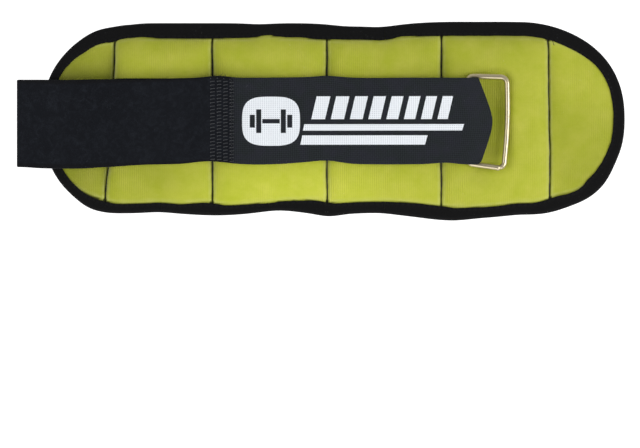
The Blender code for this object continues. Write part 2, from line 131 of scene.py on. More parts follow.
def shell(name, top, bottom, material, uv=None, marks=None):
    """A closed sheet between two (nu, nv, 3) grids, joined all round their rims."""
    nu, nv = top.shape[:2]
    count = nu * nv
    index = np.arange(count).reshape(nu, nv)
    rim = np.concatenate([index[:, 0], index[-1, 1:], index[-2::-1, -1], index[0, -2:0:-1]])
    after = np.roll(rim, -1)
    sides = np.stack([rim, after, after + count, rim + count], -1)
    faces = np.concatenate([grid_quads(nu, nv), grid_quads(nu, nv, count), sides])
    verts = np.concatenate([top.reshape(-1, 3), bottom.reshape(-1, 3)])
    if uv is None:
        uv = top[..., :2] * 0.001
    uv = np.concatenate([uv.reshape(-1, 2)] * 2)
    marks = {key: np.concatenate([value.ravel()] * 2) for key, value in (marks or {}).items()}
    return surface(name, verts, faces.tolist(), material, uv, marks)


def sweep(name, rings, material, uv, closed=False):
    """A closed bar through (n, m, 3) rings of points; its ends are filled unless it is a loop."""
    n, m = rings.shape[:2]
    if closed:
        rings = np.concatenate([rings, rings[:1]])
        faces = grid_quads(n + 1, m, 0, True) % (n * m)
        return surface(name, rings[:-1], faces.tolist(), material, uv)
    faces = grid_quads(n, m, 0, True).tolist()
    faces.append(list(range(m)))
    faces.append(list(range((n - 1) * m, n * m)))
    return surface(name, rings, faces, material, uv)


def path_frames(path):
    """Unit tangents of a path of points by central differences, and the length along it."""
    step = np.gradient(path, axis=0)
    tangent = step / np.linalg.norm(step, axis=1, keepdims=True)
    run = np.concatenate([[0], np.cumsum(np.linalg.norm(np.diff(path, axis=0), axis=1))])
    return tangent, run


def cord_rings(path, radius, sides, closed=False):
    """Circles of the radius round each point of a path, upright where the path is level."""
    path = np.asarray(path, float)
    if closed:
        tangent = np.roll(path, -1, 0) - np.roll(path, 1, 0)
        tangent /= np.linalg.norm(tangent, axis=1, keepdims=True)
        run = np.cumsum(np.linalg.norm(path - np.roll(path, 1, 0), axis=1))
    else:
        tangent, run = path_frames(path)
    side = np.cross(tangent, [0, 0, 1.0])
    side /= np.linalg.norm(side, axis=1, keepdims=True)
    up = np.cross(side, tangent)
    a = np.linspace(0, 2 * np.pi, sides, endpoint=False)
    radius = np.broadcast_to(radius, len(path))[:, None, None]
    ring = side[:, None] * np.cos(a)[None, :, None] + up[:, None] * np.sin(a)[None, :, None]
    uv = np.stack(np.broadcast_arrays(run[:, None], a[None] * radius[:, :, 0]), -1) * 0.001
    return path[:, None] + radius * ring, uv


# ------------------------------------------------------------------ shader groups
def new_group(name, ins, outs):
    """An empty shader group with float or vector inputs and outputs."""
    group = bpy.data.node_groups.new(name, "ShaderNodeTree")
    for label, kind, value in ins:
        socket = group.interface.new_socket(label, in_out="INPUT", socket_type=kind)
        if value is not None:
            socket.default_value = value
    for label, kind in outs:
        group.interface.new_socket(label, in_out="OUTPUT", socket_type=kind)
    nodes = group.nodes
    return group, nodes.new("NodeGroupInput"), nodes.new("NodeGroupOutput")


class Maker:
    """Short calls for adding and joining nodes of one tree."""

    def __init__(self, tree):
        self.tree = tree

    def node(self, kind, **settings):
        made = self.tree.nodes.new(kind)
        for key, value in settings.items():
            setattr(made, key, value)
        return made

    def join(self, source, target):
        self.tree.links.new(source, target)

    def put(self, socket, value):
        if isinstance(value, bpy.types.NodeSocket):
            self.join(value, socket)
        else:
            socket.default_value = value

    def math(self, operation, a, b=None, c=None):
        made = self.node("ShaderNodeMath", operation=operation)
        for socket, value in zip(made.inputs, (a, b, c)):
            if value is not None:
                self.put(socket, value)
        return made.outputs[0]

    def noise(self, vector, scale, detail=3.0, rough=0.55, distort=0.0):
        made = self.node("ShaderNodeTexNoise")
        self.join(vector, made.inputs["Vector"])
        made.inputs["Scale"].default_value = scale
        made.inputs["Detail"].default_value = detail
        made.inputs["Roughness"].default_value = rough
        made.inputs["Distortion"].default_value = distort
        return made.outputs["Fac"]

    def ramp(self, value, low, high, to_low=0.0, to_high=1.0):
        made = self.node("ShaderNodeMapRange", clamp=True)
        self.put(made.inputs["Value"], value)
        made.inputs["From Min"].default_value = low
        made.inputs["From Max"].default_value = high
        made.inputs["To Min"].default_value = to_low
        made.inputs["To Max"].default_value = to_high
        return made.outputs["Result"]

    def mix(self, share, a, b):
        made = self.node("ShaderNodeMix", data_type="RGBA")
        self.put(made.inputs["Factor"], share)
        self.put(made.inputs["A"], a)
        self.put(made.inputs["B"], b)
        return made.outputs["Result"]

    def parts(self, vector):
        made = self.node("ShaderNodeSeparateXYZ")
        self.join(vector, made.inputs[0])
        return made.outputs

    def group(self, tree, **values):
        made = self.node("ShaderNodeGroup", node_tree=tree)
        for key, value in values.items():
            self.put(made.inputs[key.replace("_", " ")], value)
        return made.outputs


def build_weave():
    """Crossing yarns: height is the higher of two sine ridges, each passing over in turn."""
    group, inp, out = new_group(
        "crossing_yarns",
        [("Vector", "NodeSocketVector", None), ("Along", "NodeSocketFloat", 1000.0),
         ("Across", "NodeSocketFloat", 1000.0)],
        [("Height", "NodeSocketFloat"), ("Gap", "NodeSocketFloat")],
    )
    m = Maker(group)
    x, y, _ = m.parts(inp.outputs["Vector"])
    u = m.math("MULTIPLY", x, inp.outputs["Along"])
    v = m.math("MULTIPLY", y, inp.outputs["Across"])
    su = m.math("SINE", m.math("MULTIPLY", u, math.pi))
    sv = m.math("SINE", m.math("MULTIPLY", v, math.pi))
    over = m.math("MULTIPLY", su, sv)
    warp = m.math("ABSOLUTE", su)
    weft = m.math("ABSOLUTE", sv)
    swap = m.math("GREATER_THAN", over, 0.0)
    high = m.math("ADD", m.math("MULTIPLY", warp, swap),
                  m.math("MULTIPLY", weft, m.math("SUBTRACT", 1.0, swap)))
    m.join(high, out.inputs["Height"])
    m.join(m.math("SUBTRACT", 1.0, m.math("POWER", m.math("MAXIMUM", warp, weft), 0.5)),
           out.inputs["Gap"])
    return group


def build_ribs():
    """Knit ribs: a sine across the ribs, broken into stitches along them and slightly uneven."""
    group, inp, out = new_group(
        "knit_ribs",
        [("Vector", "NodeSocketVector", None), ("Pitch", "NodeSocketFloat", 0.0011)],
        [("Height", "NodeSocketFloat"), ("Stripe", "NodeSocketFloat"),
         ("Strength", "NodeSocketFloat")],
    )
    m = Maker(group)
    vector = inp.outputs["Vector"]
    x, y, _ = m.parts(vector)
    drift = m.math("MULTIPLY", m.math("SUBTRACT", m.noise(vector, 28.0, 2.0), 0.5), 0.0014)
    turn = m.math("DIVIDE", m.math("MULTIPLY", m.math("ADD", x, drift), 2 * math.pi),
                  inp.outputs["Pitch"])
    rib = m.math("SINE", turn)
    loop = m.math("SINE", m.math("ADD", m.math("MULTIPLY", y, 2 * math.pi / 0.0009),
                                 m.math("MULTIPLY", m.math("ABSOLUTE", rib), 1.4)))
    strength = m.ramp(m.noise(vector, 34.0, 2.0), 0.38, 0.66, 0.15, 1.0)
    m.join(m.math("ADD", m.math("MULTIPLY", rib, strength), m.math("MULTIPLY", loop, 0.3)),
           out.inputs["Height"])
    m.join(rib, out.inputs["Stripe"])
    m.join(strength, out.inputs["Strength"])
    return group


def build_fuzz():
    """Brushed loops: fine stretched noise over a coarser one, with tufts that catch light."""
    group, inp, out = new_group(
        "brushed_loops",
        [("Vector", "NodeSocketVector", None), ("Fineness", "NodeSocketFloat", 2600.0)],
        [("Height", "NodeSocketFloat"), ("Tufts", "NodeSocketFloat")],
    )
    m = Maker(group)
    vector = inp.outputs["Vector"]
    fine = m.node("ShaderNodeTexNoise")
    m.join(vector, fine.inputs["Vector"])
    m.join(inp.outputs["Fineness"], fine.inputs["Scale"])
    fine.inputs["Detail"].default_value = 3.0
    nap_and_sheen = m.noise(vector, 210.0, 3.0, 0.6, 1.2)
    m.join(m.math("ADD", fine.outputs["Fac"], m.math("MULTIPLY", nap_and_sheen, 0.5)),
           out.inputs["Height"])
    m.join(m.ramp(m.math("MULTIPLY", fine.outputs["Fac"], nap_and_sheen), 0.22, 0.42),
           out.inputs["Tufts"])
    return group


def build_lint():
    """Rare pale specks of lint: the bright peaks of a fine cell pattern where a coarse one allows."""
    group, inp, out = new_group(
        "lint_specks",
        [("Vector", "NodeSocketVector", None), ("Amount", "NodeSocketFloat", 0.5)],
        [("Mask", "NodeSocketFloat")],
    )
    m = Maker(group)
    vector = inp.outputs["Vector"]
    cell = m.node("ShaderNodeTexVoronoi")
    m.join(vector, cell.inputs["Vector"])
    cell.inputs["Scale"].default_value = 520.0
    dot = m.ramp(cell.outputs["Distance"], 0.16, 0.08)
    allow = m.ramp(m.noise(vector, 60.0, 2.0), 0.6, 0.72)
    mask = m.math("MULTIPLY", m.math("MULTIPLY", dot, allow), inp.outputs["Amount"])
    m.join(mask, out.inputs["Mask"])
    return group


def build_grain():
    """Uneven dye and dirt: two sizes of noise brought to a factor around one."""
    group, inp, out = new_group(
        "uneven_tone",
        [("Vector", "NodeSocketVector", None), ("Depth", "NodeSocketFloat", 0.1)],
        [("Factor", "NodeSocketFloat"), ("Raw", "NodeSocketFloat")],
    )
    m = Maker(group)
    vector = inp.outputs["Vector"]
    both = m.math("ADD", m.math("MULTIPLY", m.noise(vector, 45.0, 3.0), 0.6),
                  m.math("MULTIPLY", m.noise(vector, 900.0, 2.0), 0.4))
    centred = m.math("SUBTRACT", both, 0.5)
    m.join(m.math("ADD", 1.0, m.math("MULTIPLY", centred, inp.outputs["Depth"])),
           out.inputs["Factor"])
    m.join(both, out.inputs["Raw"])
    return group


WEAVE = build_weave()
RIBS = build_ribs()
FUZZ = build_fuzz()
LINT = build_lint()
TONE = build_grain()


def start_material(name, rough, metal=0.0, specular=0.5, sheen=0.0, sheen_rough=0.5):
    """A Principled material, its maker, its shader and the object coordinates."""
    mat = bpy.data.materials.new(name)
    mat.use_nodes = True
    shader = mat.node_tree.nodes["Principled BSDF"]
    shader.inputs["Roughness"].default_value = rough
    shader.inputs["Metallic"].default_value = metal
    shader.inputs["Specular IOR Level"].default_value = specular
    shader.inputs["Sheen Weight"].default_value = sheen
    shader.inputs["Sheen Roughness"].default_value = sheen_rough
    m = Maker(mat.node_tree)
    place = m.node("ShaderNodeTexCoord").outputs["Object"]
    return mat, m, shader, place


def add_bump(m, shader, height, depth, strength=1.0):
    """Height in units of depth metres turned into the shader's normal."""
    bump = m.node("ShaderNodeBump")
    bump.inputs["Strength"].default_value = strength
    bump.inputs["Distance"].default_value = depth
    m.put(bump.inputs["Height"], height)
    m.join(bump.outputs["Normal"], shader.inputs["Normal"])


def uv_place(m):
    return m.node("ShaderNodeUVMap", uv_map="UVMap").outputs["UV"]


def scaled(m, colour, factor):
    """The colour times a factor."""
    made = m.node("ShaderNodeVectorMath", operation="SCALE")
    m.put(made.inputs[0], colour[:3] if isinstance(colour, tuple) else colour)
    m.put(made.inputs["Scale"], factor)
    return made.outputs[0]


def srgb(r, g, b):
    """A linear colour from 0 to 255 screen values."""
    c = np.array([r, g, b]) / 255
    c = np.where(c <= 0.04045, c / 12.92, ((c + 0.055) / 1.055) ** 2.4)
    return (float(c[0]), float(c[1]), float(c[2]), 1.0)


def green_knit():
    mat, m, shader, place = start_material("lime_knit_cloth", 0.82, 0.0, 0.25, 0.4, 0.3)
    ribs = m.group(RIBS, Vector=place, Pitch=0.00112)
    tone = m.group(TONE, Vector=place, Depth=0.2)
    lint = m.group(LINT, Vector=place, Amount=0.35)
    patches = m.noise(place, 70.0, 4.0, 0.65)
    base = m.mix(m.ramp(patches, 0.3, 0.7), srgb(169, 177, 46), srgb(183, 186, 68))
    shade = m.math("MULTIPLY", ribs["Stripe"], ribs["Strength"])
    factor = m.math("MULTIPLY", tone["Factor"], m.ramp(shade, -1.0, 1.0, 0.925, 1.04))
    # fade: painted light and shade, multiplied into the knit's colour
    fade = m.node("ShaderNodeAttribute", attribute_name="fade").outputs["Fac"]
    factor = m.math("MULTIPLY", factor, fade)
    # painted sheen: paler colour beside the seams and the binding
    nap_and_sheen = m.node("ShaderNodeAttribute", attribute_name="painted_sheen").outputs["Fac"]
    base = m.mix(nap_and_sheen, scaled(m, base, factor), srgb(200, 204, 122))
    colour = m.mix(lint["Mask"], base, srgb(215, 216, 160))
    # painted shade: near black in the seams, beside the binding and in their corners
    painted_shade = m.node("ShaderNodeAttribute", attribute_name="painted_shade").outputs["Fac"]
    colour = m.mix(m.math("MULTIPLY", painted_shade, 0.93), colour, srgb(13, 14, 5))
    m.join(colour, shader.inputs["Base Color"])
    m.join(m.ramp(tone["Raw"], 0.3, 0.7, 0.76, 0.9), shader.inputs["Roughness"])
    add_bump(m, shader, m.math("ADD", ribs["Height"], m.math("MULTIPLY", tone["Raw"], 0.8)),
             0.00009, 0.8)
    return mat


def binding_tape():
    mat, m, shader, place = start_material("black_binding_tape", 0.85, 0.0, 0.12, 0.01, 0.5)
    flat = uv_place(m)
    weave = m.group(WEAVE, Vector=flat, Along=1400.0, Across=1900.0)
    tone = m.group(TONE, Vector=place, Depth=0.5)
    lint = m.group(LINT, Vector=place, Amount=0.25)
    along, across, _ = m.parts(flat)
    row = m.ramp(m.math("ABSOLUTE", across), 0.0014, 0.0019)
    phase = m.math("SINE", m.math("MULTIPLY", along, 2 * math.pi / 0.0032))
    stitch = m.math("MULTIPLY", m.math("SUBTRACT", 1.0, row), m.ramp(phase, -0.5, 0.0))
    base = m.mix(weave["Height"], srgb(7, 7, 8), srgb(17, 17, 18))
    base = m.mix(m.math("MULTIPLY", stitch, 0.3), base, srgb(26, 26, 27))
    colour = m.mix(lint["Mask"], scaled(m, base, tone["Factor"]), srgb(120, 120, 122))
    m.join(colour, shader.inputs["Base Color"])
    add_bump(m, shader, m.math("ADD", weave["Height"], m.math("MULTIPLY", stitch, 2.0)),
             0.0001, 0.7)
    return mat


def loop_strap():
    mat, m, shader, place = start_material("black_loop_strap", 0.9, 0.0, 0.1, 0.04, 0.4)
    flat = uv_place(m)
    fuzz = m.group(FUZZ, Vector=place, Fineness=2300.0)
    tone = m.group(TONE, Vector=place, Depth=0.22)
    lint = m.group(LINT, Vector=place, Amount=0.15)
    _, across, _ = m.parts(flat)
    edge = m.ramp(m.math("ABSOLUTE", across), 0.0232, 0.0246)
    base = m.mix(fuzz["Tufts"], srgb(19, 21, 26), srgb(31, 34, 40))
    base = m.mix(m.math("MULTIPLY", edge, 0.7), base, srgb(17, 17, 19))
    colour = m.mix(lint["Mask"], scaled(m, base, tone["Factor"]), srgb(110, 112, 116))
    m.join(colour, shader.inputs["Base Color"])
    add_bump(m, shader, fuzz["Height"], 0.00022, 0.8)
    return mat


def printed_strap():
    mat, m, shader, place = start_material("dark_woven_tip", 0.78, 0.0, 0.16, 0.02, 0.4)
    flat = uv_place(m)
    weave = m.group(WEAVE, Vector=flat, Along=780.0, Across=820.0)
    tone = m.group(TONE, Vector=place, Depth=0.4)
    lint = m.group(LINT, Vector=place, Amount=0.3)
    base = m.mix(weave["Height"], srgb(14, 17, 19), srgb(38, 43, 46))
    warm = m.mix(m.ramp(m.noise(place, 120.0, 2.0), 0.4, 0.65, 0.0, 0.35), base,
                 srgb(40, 38, 52))
    colour = m.mix(lint["Mask"], scaled(m, warm, tone["Factor"]), srgb(128, 130, 134))
    m.join(colour, shader.inputs["Base Color"])
    m.join(m.ramp(weave["Height"], 0.0, 1.0, 0.88, 0.72), shader.inputs["Roughness"])
    add_bump(m, shader, weave["Height"], 0.00016, 0.8)
    return mat


def white_ink():
    mat, m, shader, place = start_material("white_print", 0.6, 0.0, 0.4)
    weave = m.group(WEAVE, Vector=uv_place(m), Along=780.0, Across=820.0)
    tone = m.group(TONE, Vector=place, Depth=0.18)
    base = m.mix(m.math("MULTIPLY", weave["Gap"], 1.3), srgb(240, 245, 250),
                 srgb(150, 156, 166))
    m.join(scaled(m, base, tone["Factor"]), shader.inputs["Base Color"])
    add_bump(m, shader, weave["Height"], 0.00012, 0.7)
    return mat


def thread(name, colour, shine):
    mat, m, shader, place = start_material(name, 0.6, 0.0, 0.4, 0.1, 0.4)
    along, across, _ = m.parts(uv_place(m))
    twist = m.math("SINE", m.math("ADD", m.math("MULTIPLY", along, 2 * math.pi / 0.0006),
                                  m.math("MULTIPLY", across, 2 * math.pi / 0.0007)))
    tone = m.group(TONE, Vector=place, Depth=0.3)
    ply = m.ramp(twist, -1.0, 1.0, 0.7, shine)
    m.join(scaled(m, colour, m.math("MULTIPLY", ply, tone["Factor"])),
           shader.inputs["Base Color"])
    add_bump(m, shader, twist, 0.00008, 0.7)
    return mat


def nickel():
    mat, m, shader, place = start_material("nickel_plated_wire", 0.16, 1.0, 0.5)
    tone = m.group(TONE, Vector=place, Depth=0.12)
    along, across, _ = m.parts(uv_place(m))
    stretched = m.node("ShaderNodeCombineXYZ")
    m.join(m.math("MULTIPLY", along, 40.0), stretched.inputs[0])
    m.join(m.math("MULTIPLY", across, 900.0), stretched.inputs[1])
    draw = m.noise(stretched.outputs[0], 3.0, 3.0)
    wear = m.ramp(m.noise(place, 260.0, 4.0, 0.7), 0.56, 0.72)
    base = m.mix(m.math("MULTIPLY", wear, 0.35), srgb(204, 192, 160), srgb(150, 134, 106))
    m.join(scaled(m, base, tone["Factor"]), shader.inputs["Base Color"])
    m.join(m.math("ADD", m.ramp(draw, 0.3, 0.7, 0.27, 0.38), m.math("MULTIPLY", wear, 0.14)),
           shader.inputs["Roughness"])
    add_bump(m, shader, m.math("ADD", draw, m.math("MULTIPLY", wear, -0.5)), 0.00004, 0.6)
    return mat


def back_cloth():
    mat, m, shader, place = start_material("black_back_knit", 0.9, 0.0, 0.2, 0.15, 0.4)
    ribs = m.group(RIBS, Vector=place, Pitch=0.0013)
    tone = m.group(TONE, Vector=place, Depth=0.4)
    lint = m.group(LINT, Vector=place, Amount=0.5)
    base = m.mix(m.ramp(ribs["Stripe"], -1.0, 1.0), srgb(20, 20, 21), srgb(33, 33, 35))
    colour = m.mix(lint["Mask"], scaled(m, base, tone["Factor"]), srgb(130, 130, 132))
    m.join(colour, shader.inputs["Base Color"])
    add_bump(m, shader, ribs["Height"], 0.00012, 0.8)
    return mat


def pouch_cloth():
    mat, m, shader, place = start_material("grey_pouch_cloth", 0.7, 0.0, 0.4)
    weave = m.group(WEAVE, Vector=place, Along=1500.0, Across=1500.0)
    tone = m.group(TONE, Vector=place, Depth=0.3)
    base = m.mix(weave["Height"], srgb(96, 99, 103), srgb(136, 140, 144))
    m.join(scaled(m, base, tone["Factor"]), shader.inputs["Base Color"])
    add_bump(m, shader, weave["Height"], 0.00008, 0.7)
    return mat


def iron_shot():
    mat, m, shader, place = start_material("loose_iron_shot", 0.5, 0.8)
    cell = m.node("ShaderNodeTexVoronoi")
    m.join(place, cell.inputs["Vector"])
    cell.inputs["Scale"].default_value = 620.0
    ball = m.ramp(cell.outputs["Distance"], 0.0, 0.6, 1.0, 0.0)
    rust = m.ramp(m.noise(place, 300.0, 3.0), 0.58, 0.75)
    base = m.mix(ball, srgb(30, 30, 32), srgb(120, 120, 124))
    m.join(m.mix(m.math("MULTIPLY", rust, 0.6), base, srgb(96, 60, 40)),
           shader.inputs["Base Color"])
    m.join(m.ramp(ball, 0.0, 1.0, 0.7, 0.38), shader.inputs["Roughness"])
    add_bump(m, shader, ball, 0.0006, 1.0)
    return mat


GREEN = green_knit()
BINDING = binding_tape()
LOOP = loop_strap()
TIP = printed_strap()
INK = white_ink()
BLACK_THREAD = thread("black_thread", srgb(44, 44, 46), 1.1)
JOIN_THREAD = thread("grey_black_thread", srgb(58, 60, 64), 1.15)
OLIVE_THREAD = thread("dark_seam_thread", srgb(9, 9, 7), 1.1)
NICKEL = nickel()
BACK = back_cloth()
POUCH = pouch_cloth()
SHOT = iron_shot()


# ------------------------------------------------------------------ the cuff's body
def swells(x, base, bells):
    """The base plus a bell of each height at each centre; held still past the ends' centres."""
    x = np.clip(x, LEFT_X, RIGHT_X)
    return base + sum(h * hump(x, c, w) for c, w, h in bells)


def end_share(x, left_powers, right_powers):
    """1 along the cuff; past an end's centre (1 - t^p)^(1/q), a little squarer than an ellipse."""
    left = np.clip((LEFT_X - x) / LEFT_A, 0, 0.99999)
    right = np.clip((x - RIGHT_X) / RIGHT_A, 0, 0.99999)
    (p, q), (r, w) = left_powers, right_powers
    return (1 - left ** p) ** (1 / q) * (1 - right ** r) ** (1 / w)


UPPER_POWERS = (1.65, 2.4), (2.0, 2.3)
LOWER_POWERS = (2.05, 2.3), (2.5, 2.2)


def edge_top(x):
    """Upper edge of the cuff, with its swells and its rounded ends."""
    shoulder = 1 + 0.033 * hump(x, -138.0, 9.0)
    return swells(x, UPPER_EDGE, UPPER_SWELLS) * end_share(x, *UPPER_POWERS) * shoulder


def edge_low(x):
    """Lower edge of the cuff, with its swells and its rounded ends; the right end is cut off a little."""
    cut = 1 - 0.022 * hump(x, 150.0, 12.0) - 0.08 * hump(x, 179.0, 5.0)
    return -swells(x, LOWER_EDGE, LOWER_SWELLS) * end_share(x, *LOWER_POWERS) * cut


def tape_top(x):
    """Visible width of the binding on the upper edge; narrower round the ends."""
    wide = swells(x, UPPER_TAPE, UPPER_TAPE_SWELLS) + 1.1 * hump(x, -127.0, 8.0)
    wide = wide + (5.6 - wide) * ease((-141.0 - x) / 22.0)
    return wide + (6.9 - wide) * ease((x - 154.0) / 24.0)


def tape_low(x):
    """Visible width of the binding on the lower edge."""
    wide = swells(x, LOWER_TAPE, LOWER_TAPE_SWELLS) + 1.1 * hump(x, -136.0, 9.0)
    wide = wide + (5.6 - wide) * ease((-143.0 - x) / 20.0)
    wide = wide + (7.0 - wide) * ease((x - 146.0) / 24.0)
    return wide + 1.5 * hump(x, 142.0, 9.0) + 2.0 * hump(x, 168.0, 8.0)


def slant(s):
    """How far x shifts per y at s: each seam's own slant, fading to none at the pockets' middles."""
    w = hump(s, SEAM_X[0], 16.0)
    w = np.where(s < SEAM_X[0], 1.0, w)
    r = np.where(s > SEAM_X[4], 1.0, hump(s, SEAM_X[4], 16.0))
    fade = ease((s + 152.0) / 22.0) * ease((176.0 - s) / 30.0)
    return (SEAM_SLANT[0] * w + SEAM_SLANT[4] * r) * fade


def lean(s, y):
    """How far the point at seam coordinate s and y stands from s: the seams' slant and slight wander."""
    wander = sum(0.22 * hump(s, x0, 9.0) * ripple(y * 0.14, k + 2.0) for k, x0 in enumerate(SEAM_X))
    wander = wander + 1.35 * hump(s, SEAM_X[0], 14.0) * (0.5 - (y / 48.0) ** 2)
    return slant(s) * y + wander * ease((56.0 - np.abs(y)) / 12.0)


def filled(t, power, shape):
    """1 in the middle and 0 at t = -1 and 1, as (1 - |t|^power)^shape."""
    t = np.clip(np.abs(t), 0, 1)
    return (1 - t ** power) ** shape


def face_limits(x):
    """Upper and lower lines where the padding starts to rise, just inside the binding."""
    return edge_top(x) - tape_top(x) - 0.15, edge_low(x) + tape_low(x) + 0.15


def face_height(s, x, y):
    """Height of the knit face at the plan point x, y whose seam coordinate is s.

    Each pocket is the product of two full, flat-topped humps from seam to seam and from binding
    to binding, the second fuller towards the lower edge, where the shot has settled. Small folds
    run off each seam and each edge and die away, the shot makes soft lumps, and the ring and its
    tab draw pocket 4 down round them.
    """
    top, low = face_limits(x)
    v = np.clip(2 * (y - low) / np.maximum(top - low, 1.0) - 1, -1, 1)
    over = np.where(v > 0, filled(v, 5.5, 0.66), filled(v, 2.1, 0.78))
    z = np.full_like(x, 4.15)
    for i in range(4):
        a, b = SEAM_X[i], SEAM_X[i + 1]
        u = np.clip(2 * (s - a) / (b - a) - 1, -1, 1)
        inside = np.abs(u) < 1
        rise = filled(u, 8.0, 0.42) * over
        near = np.minimum(s - a, b - s)
        near_y = np.minimum(top - y, y - low)
        creases = 0.5 * np.exp(-np.abs(near - 4.0) / 4.5) * ripple(y * 0.34 + 5 * i, 2.0 + i)
        creases = creases + 0.45 * np.exp(-np.abs(near_y - 3.5) / 4.5) * ripple(x * 0.3, 7.0 + i)
        lumps = 0.3 * ripple(x * 0.11 + y * 0.07, 3.0 * i) + 0.22 * ripple(y * 0.13 - x * 0.05, i + 8.0)
        if i == 3:
            drawn = 4.2 * np.exp(-(((x - 101.0) / 11.0) ** 4)) * ease((33.0 - np.abs(y + 1.0)) / 9.0)
            lumps = lumps - drawn
        z = z + np.where(inside, rise * (9.6 + lumps) + creases * filled(u, 2, 1) * filled(v, 2, 1), 0)
    flap = np.where(s < SEAM_X[0], (SEAM_X[0] - s) / 34.0, (s - SEAM_X[4]) / 40.0)
    puff = np.sin(np.clip(flap, 0, 1) * math.pi) * filled(v, 2.2, 0.8)
    outside = (s <= SEAM_X[0]) | (s >= SEAM_X[4])
    wave = 0.9 + 0.35 * ripple(x * 0.12 + y * 0.09, 6.0)
    return z + np.where(outside, puff * wave, 0)


def seam_dip(s):
    """How far the cloth sinks into each seam: a sharp notch at the seam line."""
    d = np.min(np.abs(s[..., None] - SEAM_X), axis=-1)
    return 1.3 * np.exp(-((d / 0.6) ** 2))


def along_axis(start, end, step, seams):
    """Seam coordinates from start to end, about a step apart, and much closer near a seam."""
    pieces = []
    knots = [start] + [k for k in seams if start < k < end] + [end]
    for a, b in zip(knots[:-1], knots[1:]):
        n = max(6, int(abs(b - a) / step))
        t = np.linspace(0, 1, n + 1)
        left, right = a in seams, b in seams
        if left and right:
            t = 0.5 - 0.5 * np.cos(np.pi * t)
        elif left:
            t = t ** 1.7
        elif right:
            t = 1 - (1 - t) ** 1.7
        pieces.append(a + (b - a) * t)
    return np.unique(np.round(np.concatenate(pieces), 5))


def plan_grid(start, end, step, ny, inset_top, inset_low):
    """Seam coordinate, x and y of a grid between the cuff's edges less the insets."""
    if start < SEAM_X[0] - 30:
        start = LEFT_X - (LEFT_A - 2.2)
    if end > SEAM_X[4] + 30:
        end = RIGHT_X + (RIGHT_A - 2.2)
    s = along_axis(start, end, step, list(SEAM_X))
    v = np.linspace(0, 1, ny)
    v = 0.75 * v + 0.25 * (0.5 - 0.5 * np.cos(np.pi * v))
    s, v = np.meshgrid(s, v, indexing="ij")
    top = edge_top(s) - inset_top
    low = edge_low(s) + inset_low
    low, top = np.minimum(low, -2.0), np.maximum(top, 2.0)
    y = low + (top - low) * v
    return s, s + lean(s, y), y


def seam_points(k, reach):
    """Start and end of the bend at seam k, a reach to each side, square to the seam."""
    n = np.array([1.0, -SEAM_SLANT[k], 0.0])
    n /= np.linalg.norm(n)
    c = np.array([SEAM_X[k], 0, 0])
    return tuple((c - n * reach) * 0.001), tuple((c + n * reach) * 0.001)


SPLITS = [-200.0] + list(MIDS) + [220.0]


def painted_light_and_shade(x, y):
    """Painted light and shade: how much paler or darker the knit is from place to place, as a sum of soft
    swells.
    """
    # painted light: paler towards the middle of the cuff and most near the lower edge; painted shade:
    # darker on the left flap, low on pocket 1 and on the right flap's lower part
    fade = 0.06 * hump(x, -15.0, 60.0) * (1 + 0.8 * np.sign(-y) * hump(np.abs(y), 45.0, 22.0))
    fade = fade - 0.16 * hump(x, -152.0, 24.0) - 0.05 * hump(x, -100.0, 20.0) * (y < 0)
    fade = fade - 0.06 * ease((x - 140.0) / 30.0) * ease((-y - 10.0) / 50.0)
    # painted shadow of the strap on the cloth just above its upper edge, strongest over the left pockets
    above = np.maximum(y - strap_top_y(x), 0)
    fade = fade - 0.15 * np.exp(-((above / 6.5) ** 2)) * ease((5.0 - x) / 80.0) * (above > 0)
    # painted shade: darker below the strap on pocket 1, below the ring's lower bar and over the right flap
    # below its top
    fade = fade - 0.06 * hump(x, -95.0, 26.0) * hump(y, -34.0, 10.0)
    fade = fade - 0.05 * hump(x, 96.0, 12.0) * hump(y, -35.0, 6.0)
    return fade - 0.07 * ease((x - 138.0) / 8.0) * ease((24.0 - y) / 36.0)


def knit_marks(s, x, y, k):
    """Face attributes: painted shade in seams and by the binding, painted light and shade, painted sheen
    beside both.
    """
    from_seam = np.min(np.abs(s[..., None] - SEAM_X), axis=-1)
    rim_top, rim_low = face_limits(x)
    from_tape = np.minimum(rim_top - y, y - rim_low)
    clear_of_tape = np.maximum(from_tape, 0)
    wobble = 1 + 0.35 * ripple(y * 0.5, k)
    # painted shade: near black in the seams, softer beside the binding, and filling the corners where seam
    # and binding meet
    painted_shade = np.exp(-((from_seam / (0.5 * wobble)) ** 4))
    painted_shade = painted_shade + 0.45 * np.exp(-((clear_of_tape / 0.45) ** 2))
    corner = np.hypot(np.maximum(0, 1 - from_seam / 3.4), np.maximum(0, 1 - clear_of_tape / 2.4))
    painted_shade = np.clip(painted_shade + ease((corner - 0.94) / 0.12), 0, 1)
    # painted sheen: a paler rim just beside each seam and along the binding, kept off the painted shade
    by_seam = 0.46 * np.exp(-(((from_seam - 1.35) / 0.75) ** 2))
    by_tape = 0.36 * np.exp(-(((from_tape - 1.3) / 0.9) ** 2))
    painted_sheen = by_seam * (0.75 + 0.35 * ripple(y * 0.9, k + 4.0))
    painted_sheen = painted_sheen + by_tape * (0.75 + 0.35 * ripple(x * 0.5, k))
    return {
        "painted_shade": painted_shade,
        # fade: the painted light and shade, a factor around one
        "fade": 1 + 2.0 * painted_light_and_shade(x, y),
        "painted_sheen": np.clip(painted_sheen * (1 - painted_shade), 0, 1),
    }


